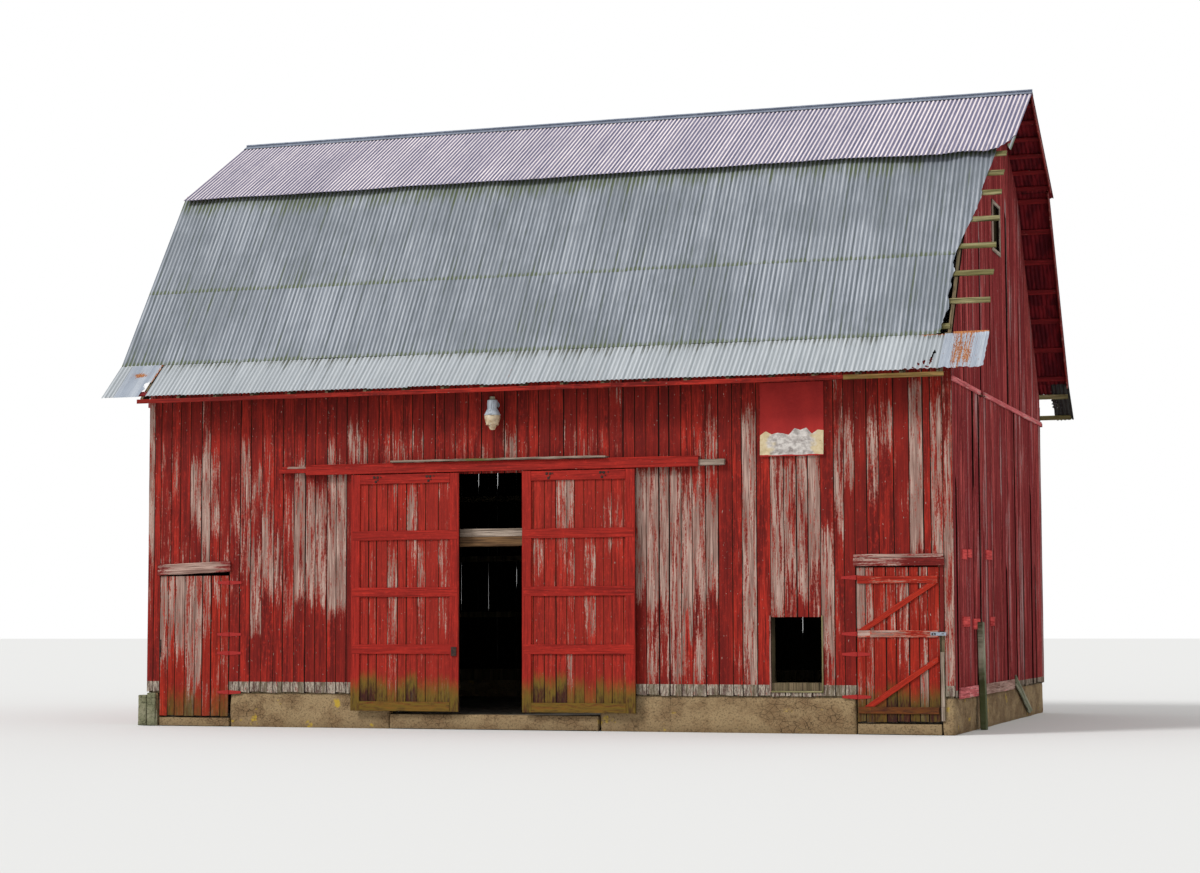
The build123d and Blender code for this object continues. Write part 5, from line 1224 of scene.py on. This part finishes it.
def foot_timber():
    """Foot planks on the right gable, the post that stands against it and the board that leans on it."""
    build = Build()
    thick = 0.024
    post0, post1 = FRONT + 1.75, FRONT + 1.9
    spans = ((FRONT + 0.25, FRONT + 1.0, -0.1), (FRONT + 1.0, post0 - 0.02, 0.3),
             (post1 + 0.02, FRONT + 3.6, 1.4), (FRONT + 3.6, FRONT + 5.06, 0.75))
    for y0, y1, bare in spans:
        bar(build, (RIGHT, y0 + 0.002, 0.48), (RIGHT + thick, y1 - 0.002, 0.635), 1, (0, 1), step=0.1,
            wobble=0.006, peel=bare, grime=0.2, ends=((0, RNG.uniform(0, 0.02)), (0, -RNG.uniform(0, 0.02))))
    post_top = 1.527
    lean = math.atan2(0.03, post_top)
    along = np.array((-math.sin(lean), 0, math.cos(lean)))
    out = np.array((math.cos(lean), 0, math.sin(lean)))
    plank(build, (RIGHT + 0.12, post1, 0.004), along, -Y, out, (post_top - 0.004, 0.15, 0.088),
          ((0, 0), (-0.012, -0.002)), 0.08, 0.01, 0.006, 0.002, lay_from=0.0, mat=1,
          grime=lambda at: 0.6 - 0.4 * ease(0.2, 1.3, at))
    drop, run = 0.7, 1.95
    long = math.hypot(drop, run)
    along = np.array((0, run, -drop)) / long
    across = np.array((0, -drop, -run)) / long
    plank(build, (RIGHT + 0.025, FRONT + 5.2, drop), along, across, X, (long - 0.3, 0.15, thick),
          ((0.0, 0.06), (0, -0.28)), 0.1, wobble=0.006, peel=0.8, grime=0.15, mat=1)
    build.piece("gable_foot_boards", [BELT_PAINT, POST_WOOD], "gable_foot_timber", "bare_timber")


def repair_squares():
    """Short boards nailed over holes in the right gable, with Y from the front corner and height."""
    build = Build()
    for y0, y1, z0, z1 in ((0.64, 0.96, 2.39, 2.53), (1.09, 1.37, 2.42, 2.54), (2.62, 3.12, 2.43, 2.57),
                           (0.62, 1.16, 1.46, 1.6), (1.47, 2.0, 1.42, 1.57), (2.92, 3.25, 1.46, 1.6)):
        bar(build, (RIGHT - 0.004, FRONT + y0, z0), (RIGHT + 0.013, FRONT + y1, z1), 1, (0, 1), step=0.06,
            chamfer=0.003, wobble=0.003, peel=RNG.uniform(-0.1, 0.2), tone=RNG.uniform(-0.2, 1.0))
    build.piece("gable_repair_squares", [SQUARE_PAINT])


def track_cover():
    """The boxed cover of the door track, and the short old boards that stick out at its ends."""
    build = Build()
    x0, x1 = LEFT + 2.653, LEFT + 8.681
    outer = FRONT - 0.1
    inner = FRONT - 0.0745
    foot, top = 3.708, 3.842
    cuts = (x0, x0 + 1.9, x0 + 4.1, x1)
    for a, b in zip(cuts[:-1], cuts[1:]):
        bar(build, (a + 0.0005, outer, foot), (b - 0.0005, outer + 0.025, top - 0.0005), step=0.3,
            wobble=0.003, peel=-0.15, tone=RNG.uniform(-0.7, 0.1))
    bar(build, (x0, outer, top), (x1, FRONT, top + 0.016), 0, (2, 1), step=0.4, peel=0.1)
    left, right = (end[0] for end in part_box("track_cover"))
    near = x0 + 0.012
    bar(build, (left, inner, foot + 0.036), (near, FRONT, foot + 0.1), step=0.06, wobble=0.003, peel=-0.1,
        lay_from=0.0)
    bar(build, (left + 0.05, inner, foot + 0.101), (near, FRONT, foot + 0.1335), step=0.05, wobble=0.008,
        peel=lambda at: -0.1 + ease(0.06, 0.1, at) * (1 - ease(0.4, 0.44, at)), lay_from=0.0)
    bar(build, (x1 - 0.012, inner, foot + 0.012), (right, FRONT, foot + 0.0995), step=0.06, wobble=0.006,
        peel=1.1, mat=1, ends=((0, 0), (-0.01, 0)))
    build.piece("track_cover_boards", [FRAME_PAINT, BARE], "track_cover")


def drip_strip():
    build = Build()
    low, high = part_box("drip_strip")
    bar(build, low, (high[0], FRONT, high[2]), step=0.06, chamfer=0.008, wobble=0.006, lay_from=0.0,
        grime=lambda at: 0.15 + 0.5 * np.exp(-((at - 1.35) / 0.25) ** 2))
    build.piece("drip_strip_board", [BARE], "drip_strip", "bare_timber")


# Doors

# Middles of the hangers' bolts along X, and their places on a hanger
HANGER_BOLTS = {"left": (-2.337, -1.508), "right": (0.341, 1.146)}
BOLT_SPOTS = ((-0.027, 3.652), (0.027, 3.65), (0.0, 3.588))


def door_boards(name, body, node, paint_used, box, y, zones, **rest):
    """A door's upright boards, from its solid's box."""
    build = Build()
    (x0, y0, z0), (x1, y1, z1) = box
    board_field(build, ((LEFT, y, 0), X, -Y, y1 - y0), x0 - LEFT, x1 - LEFT, z0, z1, zones, **rest)
    build.piece(name, [paint_used], node, body=body)


def small_iron(build, middle, half, z0, z1, y0, y1, **rest):
    """A plate or bolt head on the front, with its middle along X."""
    bar(build, (middle - half, y0, z0), (middle + half, y1, z1), 2, **rest)


def slider(side):
    body = side + "_sliding_door"
    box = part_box(side + "_sliding_boards")
    (x0, y1, z0), (x1, _, z1) = box
    door_boards(body + "_boards", body, side + "_sliding_boards", DOOR_PAINT, box, y1, SLIDER_BARE,
                base=-0.02, spread=0.22, foot_wear=0.006, foot_grime=1.5, narrow=0.12, wide=0.2,
                gap=(0.002, 0.004))
    build = Build()
    y0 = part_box(side + "_sliding_frame")[0][1]
    wide = 0.14
    for x in (x0, x1 - wide):
        bar(build, (x, y0 + 0.003, z0), (x + wide, y1, z1), 2, step=0.12, wobble=0.0015, peel=-0.1,
            grime=rising(1.25, 0.26, 1.05), lay_from=z0)
    for n in range(5):
        z = z0 + n * (z1 - z0 - wide) / 4
        over = 0.02 if 0 < n < 4 else wide + 0.0015
        bar(build, (x0 + over, y0, z + 0.001), (x1 - over, y1, z + wide - 0.001), step=0.15, wobble=0.0015,
            peel=-0.12 if n else 0.1, grime=0.0 if n else 1.0)
    build.piece(body + "_frame", [FRAME_PAINT], side + "_sliding_frame", body=body)
    build = Build()
    for middle in HANGER_BOLTS[side]:
        for dx, z in BOLT_SPOTS:
            for grow, proud in ((0.018, 0.004), (0.011, 0.009)):
                small_iron(build, middle + dx, grow, z - grow, z + grow, y0 - proud, y0 - proud + 0.0045,
                           step=0.05, wobble=0.0)
    build.piece(body + "_bolt_heads", [IRON], slot="rusty_iron", body=body)


def left_door():
    body = "left_side_door"
    end, inside = LEFT_DOOR[1][:2]
    door_boards(body + "_planks", body, body + "_boards", SIDE_DOOR_PAINT, LEFT_DOOR, FRONT, SIDE_DOOR_BARE,
                base=0.06, foot_wear=0.015, foot_grime=0.9, narrow=0.13, wide=0.2, bare_inside=True)
    build = Build()
    slot = LEFT + 0.222
    small_iron(build, slot, 0.014, 1.03, 1.29, FRONT - 0.004, FRONT - 0.0003, step=0.05, chamfer=0.001,
               wobble=0.001)
    small_iron(build, slot, 0.006, 1.1, 1.19, FRONT - 0.016, FRONT - 0.0042, step=0.02, chamfer=0.003,
               wobble=0.0)
    build.piece(body + "_latch_plate", [IRON], slot="rusty_iron", body=body)
    build = Build()
    for z0, z1 in ((0.29, 0.43), (1.18, 1.32), (2.04, 2.18)):
        bar(build, (LEFT + 0.245, inside, z0), (end - 0.02, inside + 0.022, z1), 0, (1, 1), step=0.2,
            peel=0.2)
    build.piece(body + "_rails", [TRIM_PAINT], body + "_battens", body=body)


def right_door():
    body = "right_side_door"
    door_boards(body + "_planks", body, body + "_boards", SIDE_DOOR_PAINT, RIGHT_DOOR, FRONT, SIDE_DOOR_BARE,
                base=0.04, foot_wear=0.02, foot_grime=1.4, narrow=0.13, wide=0.2, bare_inside=True)
    build = Build()
    edge = LEFT + 10.889
    near, far = edge + 0.022, edge + 0.193
    end = RIGHT_DOOR[1][0] - 0.02
    y0 = FRONT - 0.022
    for z0, z1, bare, grime in ((0.285, 0.38, 0.0, 1.15), (1.319, 1.414, 0.5, 0.0), (2.052, 2.152, 0.3, 0.0)):
        bar(build, (near, y0, z0), (far, FRONT - 0.0056, z1), step=0.05, peel=bare, grime=grime)
        bar(build, (far, y0, z0), (end, FRONT, z1), step=0.06, wobble=0.003, peel=bare, grime=grime)
    x = edge + 0.106
    brace(build, (x, 0.382), (x + 0.139, 0.382), (end, 0.985), (end, 1.073), y0)
    brace(build, (near, 1.416), (near + 0.139, 1.416), (end, 2.05), (end - 0.139, 2.05), y0)
    build.piece(body + "_braces", [BRACE_PAINT], body + "_battens", body=body)
    build = Build()
    for x in (5.819, 5.853):
        small_iron(build, x, 0.011, 1.355, 1.378, FRONT - 0.0345, FRONT - 0.0268, step=0.02, wobble=0.0)
    build.piece(body + "_hasp_bolts", [IRON], slot="rusty_iron", body=body)


def brace(build, foot_near, foot_far, head_far, head_near, y0):
    """A slanting board from its foot corners to its head corners, on a door's face."""
    steps = 16
    foot_near, foot_far, head_far, head_near = np.array((foot_near, foot_far, head_far, head_near))
    t = np.linspace(0, 1, steps)[:, None]
    near = foot_near * (1 - t) + head_near * t
    far = foot_far * (1 - t) + head_far * t
    # How far the chamfered outer face keeps from the edges, as a share of the width
    c = 0.06
    spots = np.stack((near * (1 - c) + far * c, near * c + far * (1 - c), far, far, near, near), 1)
    deep = y0 + np.array((0, 0, 0.004, FRONT - y0, FRONT - y0, 0.004))
    points = np.stack(np.broadcast_arrays(spots[..., 0], deep, spots[..., 1]), -1)
    caps = np.array(((0, 1, 2, 5), (5, 2, 3, 4)))
    quads = np.concatenate((tube_quads(steps, 6), caps[:, ::-1], caps + (steps - 1) * 6))
    across = np.array((c, 1 - c, 1, 1, 0, 0)) * np.linalg.norm(foot_far - foot_near)
    lay = np.stack(np.broadcast_arrays(across, t * np.linalg.norm(head_near - foot_near), 7.7), -1)
    build.add(points, quads, lay, peel=0.05, tone=-0.4)


# Masonry

def stones(name, node, blocks, material=RENDER):
    """Worn blocks: low and high corners, cell, depth of wear, its scale, rounding, share of wear on top."""
    build = Build()
    for block in blocks:
        rough_block(build, *block)
    build.piece(name, [material], node, "concrete", smooth=50, weld=True)


def stone_work():
    side = 0.18
    out = FRONT + 0.01
    left, right = LEFT + 0.01, RIGHT - 0.01
    top = 0.495
    inner = left + side + 0.0005
    walls = (((left, out, 0), (left + side, -out, top)), ((right - side, out, 0), (right, -out, top)),
             ((inner, -out - side, 0), (-inner, -out, top)), ((-4.749, out, 0), (JAMBS[0], out + side, top)),
             ((JAMBS[1], out, 0), (4.763, out + side, top)))
    stones("foundation_masonry", "foundation_walls",
           [(*wall, 0.05, 0.022, 4.0, 0.012, 0.04) for wall in walls])
    sills = (((left + side, out, 0), (-4.749, out + side, 0.138)),
             ((JAMBS[0], out - 0.02, 0), (JAMBS[1], out + side, 0.22)),
             ((4.763, out, 0), (right - side, out + side, 0.156)))
    stones("door_sill_stones", "door_sills", [(*sill, 0.05, 0.008, 5.0, 0.006) for sill in sills])
    x0, x1, x2, x3 = -6.26, -6.11, -5.96, -5.93
    y0 = FRONT - 0.03
    stones("corner_stones", "corner_block", [
        ((x0, y0, 0), (x1, FRONT + 0.26, 0.464), 0.025, 0.01, 9, 0.006),
        ((x1 + 0.0005, y0, 0), (x2, out, 0.499), 0.025, 0.008, 9, 0.005),
        ((x2 + 0.0005, y0, 0), (x3, out, 0.25), 0.02, 0.006, 9, 0.004)], BLOCK_STONE)


def doorway_boards():
    build = Build()
    low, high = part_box("doorway_beam")
    bar(build, (low[0], low[1], 2.632), (high[0], low[1] + 0.13, 2.77), step=0.3, chamfer=0.008, wobble=0.004)
    bar(build, (low[0], low[1], 2.7705), (high[0], low[1] + 0.035, 2.8885), step=0.3, wobble=0.004, peel=0.8,
        mat=1)
    build.piece("doorway_beam_boards", [BROWN_BEAM, BARE], "doorway_beam", "bare_timber")


# Lamp

# Outlines from the top down: radius and height
HOUSING = ((0.012, 4.779), (0.03, 4.7785), (0.038, 4.773), (0.039, 4.765), (0.039, 4.742), (0.041, 4.736),
           (0.05, 4.7295), (0.068, 4.727), (0.0735, 4.721), (0.074, 4.712), (0.074, 4.64), (0.0725, 4.632),
           (0.0725, 4.626), (0.0745, 4.62), (0.0745, 4.604), (0.078, 4.594), (0.089, 4.57), (0.103, 4.54),
           (0.114, 4.519), (0.1195, 4.511), (0.121, 4.507), (0.1195, 4.505), (0.112, 4.507), (0.1, 4.53),
           (0.06, 4.56))
LENS_TOP = ((0.1, 4.504), (0.1125, 4.5035), (0.1145, 4.5))
LENS_FOOT = ((0.088, 4.3635), (0.072, 4.3625), (0.062, 4.362), (0.059, 4.358), (0.056, 4.345), (0.05, 4.328),
             (0.041, 4.31), (0.033, 4.2985), (0.028, 4.2945), (0.02, 4.293))
ARM_PLATE = ((0.001, 0.012), (0.04, 0.012), (0.048, 0.0095), (0.05, 0.006), (0.05, 0.0), (0.001, 0.0))
LAMP_AT = np.array((LEFT + 5.627, FRONT - 0.16, 0))


def lamp_housing():
    x, y, _ = LAMP_AT
    build = Build()
    lathe(build, HOUSING, LAMP_AT)
    arm_z, tube = 4.6665, 0.0155
    out = np.linspace(0, 1, 16)[:, None]
    turn = np.linspace(0, 2 * math.pi, 20, endpoint=False)
    ring = np.stack(np.broadcast_arrays(x + tube * np.cos(turn), FRONT - 0.011 - (0.16 - 0.07 - 0.011) * out,
                                        arm_z + tube * np.sin(turn)), -1)
    build.add(ring, tube_quads(16, 20))
    lathe(build, ARM_PLATE, np.zeros(3), 40,
          lambda p: np.stack((p[..., 0] + x, FRONT - p[..., 2], p[..., 1] + arm_z), -1))
    for way in (-1, 1):
        small_iron(build, x + way * 0.078, 0.008, 4.58, 4.622, y - 0.009, y + 0.009, step=0.02, chamfer=0.003,
                   wobble=0.0, mat=1)
    build.piece("barn_lamp_housing", [ENAMEL, IRON], "lamp_housing", "lamp_metal", smooth=35)


def lamp_lens():
    """The globe: eleven ribs, each from four rings, between its collar and its rounded foot."""
    build = Build()
    ribs = []
    for n in range(45):
        t = n / 44
        radius = 0.1145 + (0.094 - 0.1145) * ease(0.1, 1, t)
        ribs.append((radius - 0.0022 * (0.5 - 0.5 * math.cos(math.pi * n / 2)), 4.497 - t * (4.497 - 4.368)))
    lathe(build, (*LENS_TOP, *ribs, *LENS_FOOT), LAMP_AT)
    build.piece("barn_lamp_lens", [LENS_GLASS], "lamp_lens", "lamp_glass", smooth=40)


# CAD nodes that show as they are

CAD_FINISH = (
    (FLOOR_STONE, "barn_floor"),
    (FRAME_TIMBER, "sill_beams posts wall_plates tie_beams wall_girts lower_rafters upper_rafters "
                   "rafter_tails purlins purlin_posts gable_studs"),
    (IRON, "door_track left_sliding_hangers right_sliding_hangers sliding_door_latch"),
    (RED_IRON, "left_side_door_straps right_side_door_straps wall_hinge_leaves"),
    (PALE_IRON, "right_side_door_hasp"))


def finish_cad_nodes():
    for material, names in CAD_FINISH:
        for name in names.split():
            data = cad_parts[name].data
            data.materials.clear()
            data.materials.append(material)


# Stage

def stand(name, data):
    thing = bpy.data.objects.new(name, data)
    bpy.context.scene.collection.objects.link(thing)
    return thing


def make_camera():
    data = bpy.data.cameras.new("camera")
    data.lens = LENS
    data.sensor_fit = "HORIZONTAL"
    data.clip_end = 500
    camera = stand("camera", data)
    turn = Matrix.Rotation(CAMERA_YAW, 4, "Z") @ Matrix.Rotation(math.pi / 2 + CAMERA_PITCH, 4, "X")
    camera.matrix_world = Matrix.Translation(CAMERA_AT) @ turn @ Matrix.Rotation(CAMERA_ROLL, 4, "Z")
    bpy.context.scene.camera = camera


def make_floor():
    n = Nodes("floor_pale", roughness=0.95, specular=0.0)
    n.shader.inputs["Base Color"].default_value = (0.72, 0.72, 0.71, 1.0)
    mesh = bpy.data.meshes.new("floor")
    size = 150
    corners = [(-size, -size, 0), (size, -size, 0), (size, size, 0), (-size, size, 0)]
    mesh.from_pydata(corners, [], [(0, 1, 2, 3)])
    mesh.materials.append(n.material)
    stand("floor", mesh)


def make_world():
    """A soft even sky that reads white behind the barn."""
    world = bpy.data.worlds.new("world")
    bpy.context.scene.world = world
    world.use_nodes = True
    tree = world.node_tree
    sky = tree.nodes["Background"]
    white = tree.nodes.new("ShaderNodeBackground")
    for background, strength in ((sky, SKY_LIGHT), (white, 1.0)):
        background.inputs["Color"].default_value = (1.0, 1.0, 1.0, 1.0)
        background.inputs["Strength"].default_value = strength
    path = tree.nodes.new("ShaderNodeLightPath")
    seen = path.outputs["Is Camera Ray"]
    for name in ("Is Glossy Ray", "Is Transmission Ray"):
        add = tree.nodes.new("ShaderNodeMath")
        add.operation = "MAXIMUM"
        tree.links.new(seen, add.inputs[0])
        tree.links.new(path.outputs[name], add.inputs[1])
        seen = add.outputs[0]
    mix = tree.nodes.new("ShaderNodeMixShader")
    for socket, source in zip(mix.inputs, (seen, sky.outputs[0], white.outputs[0])):
        tree.links.new(source, socket)
    tree.links.new(mix.outputs[0], tree.nodes["World Output"].inputs["Surface"])


def make_sun():
    data = bpy.data.lights.new("sun", "SUN")
    data.energy = SUN_LIGHT
    data.angle = math.radians(14)
    stand("sun", data).rotation_euler = Vector(SUN_FROM).normalized().to_track_quat("Z", "Y").to_euler()


make_camera()
make_floor()
make_world()
make_sun()
front_boards()
back_boards()
gable_boards("right", 1, GABLE_BARE, ((1.9, 1.4, 1.75, 0.016), (4.96, 2.8, 3.46, 0.02)), (2.1, 4.2),
             LOW_CRACKS, HIGH_CRACKS)
gable_boards("left", -1, GABLE_BARE[2:8], ((3.1, 1.7, 2.4, 0.012), (6.3, 2.6, 3.3, 0.01)), (2.7,))
upper_sheets()
steep_sheets()
eave_sheets()
patch_sheets()
cap()
nailers("steep_roof", STEEP_SLOPE, STEEP_ROWS, BACK_STEEP_ROWS, 1)
nailers("upper_roof", UPPER_SLOPE, UPPER_ROWS, UPPER_ROWS, 0, UPPER_SHIFT)
nailers("eave_roof", KICK_SLOPE, KICK_ROWS, KICK_ROWS, -1)
fascia()
rakes()
belts()
frames()
headers()
patch()
foot_timber()
repair_squares()
track_cover()
drip_strip()
slider("left")
slider("right")
left_door()
right_door()
stone_work()
doorway_boards()
lamp_housing()
lamp_lens()
finish_cad_nodes()
bpy.context.scene.view_settings.view_transform = "Standard"
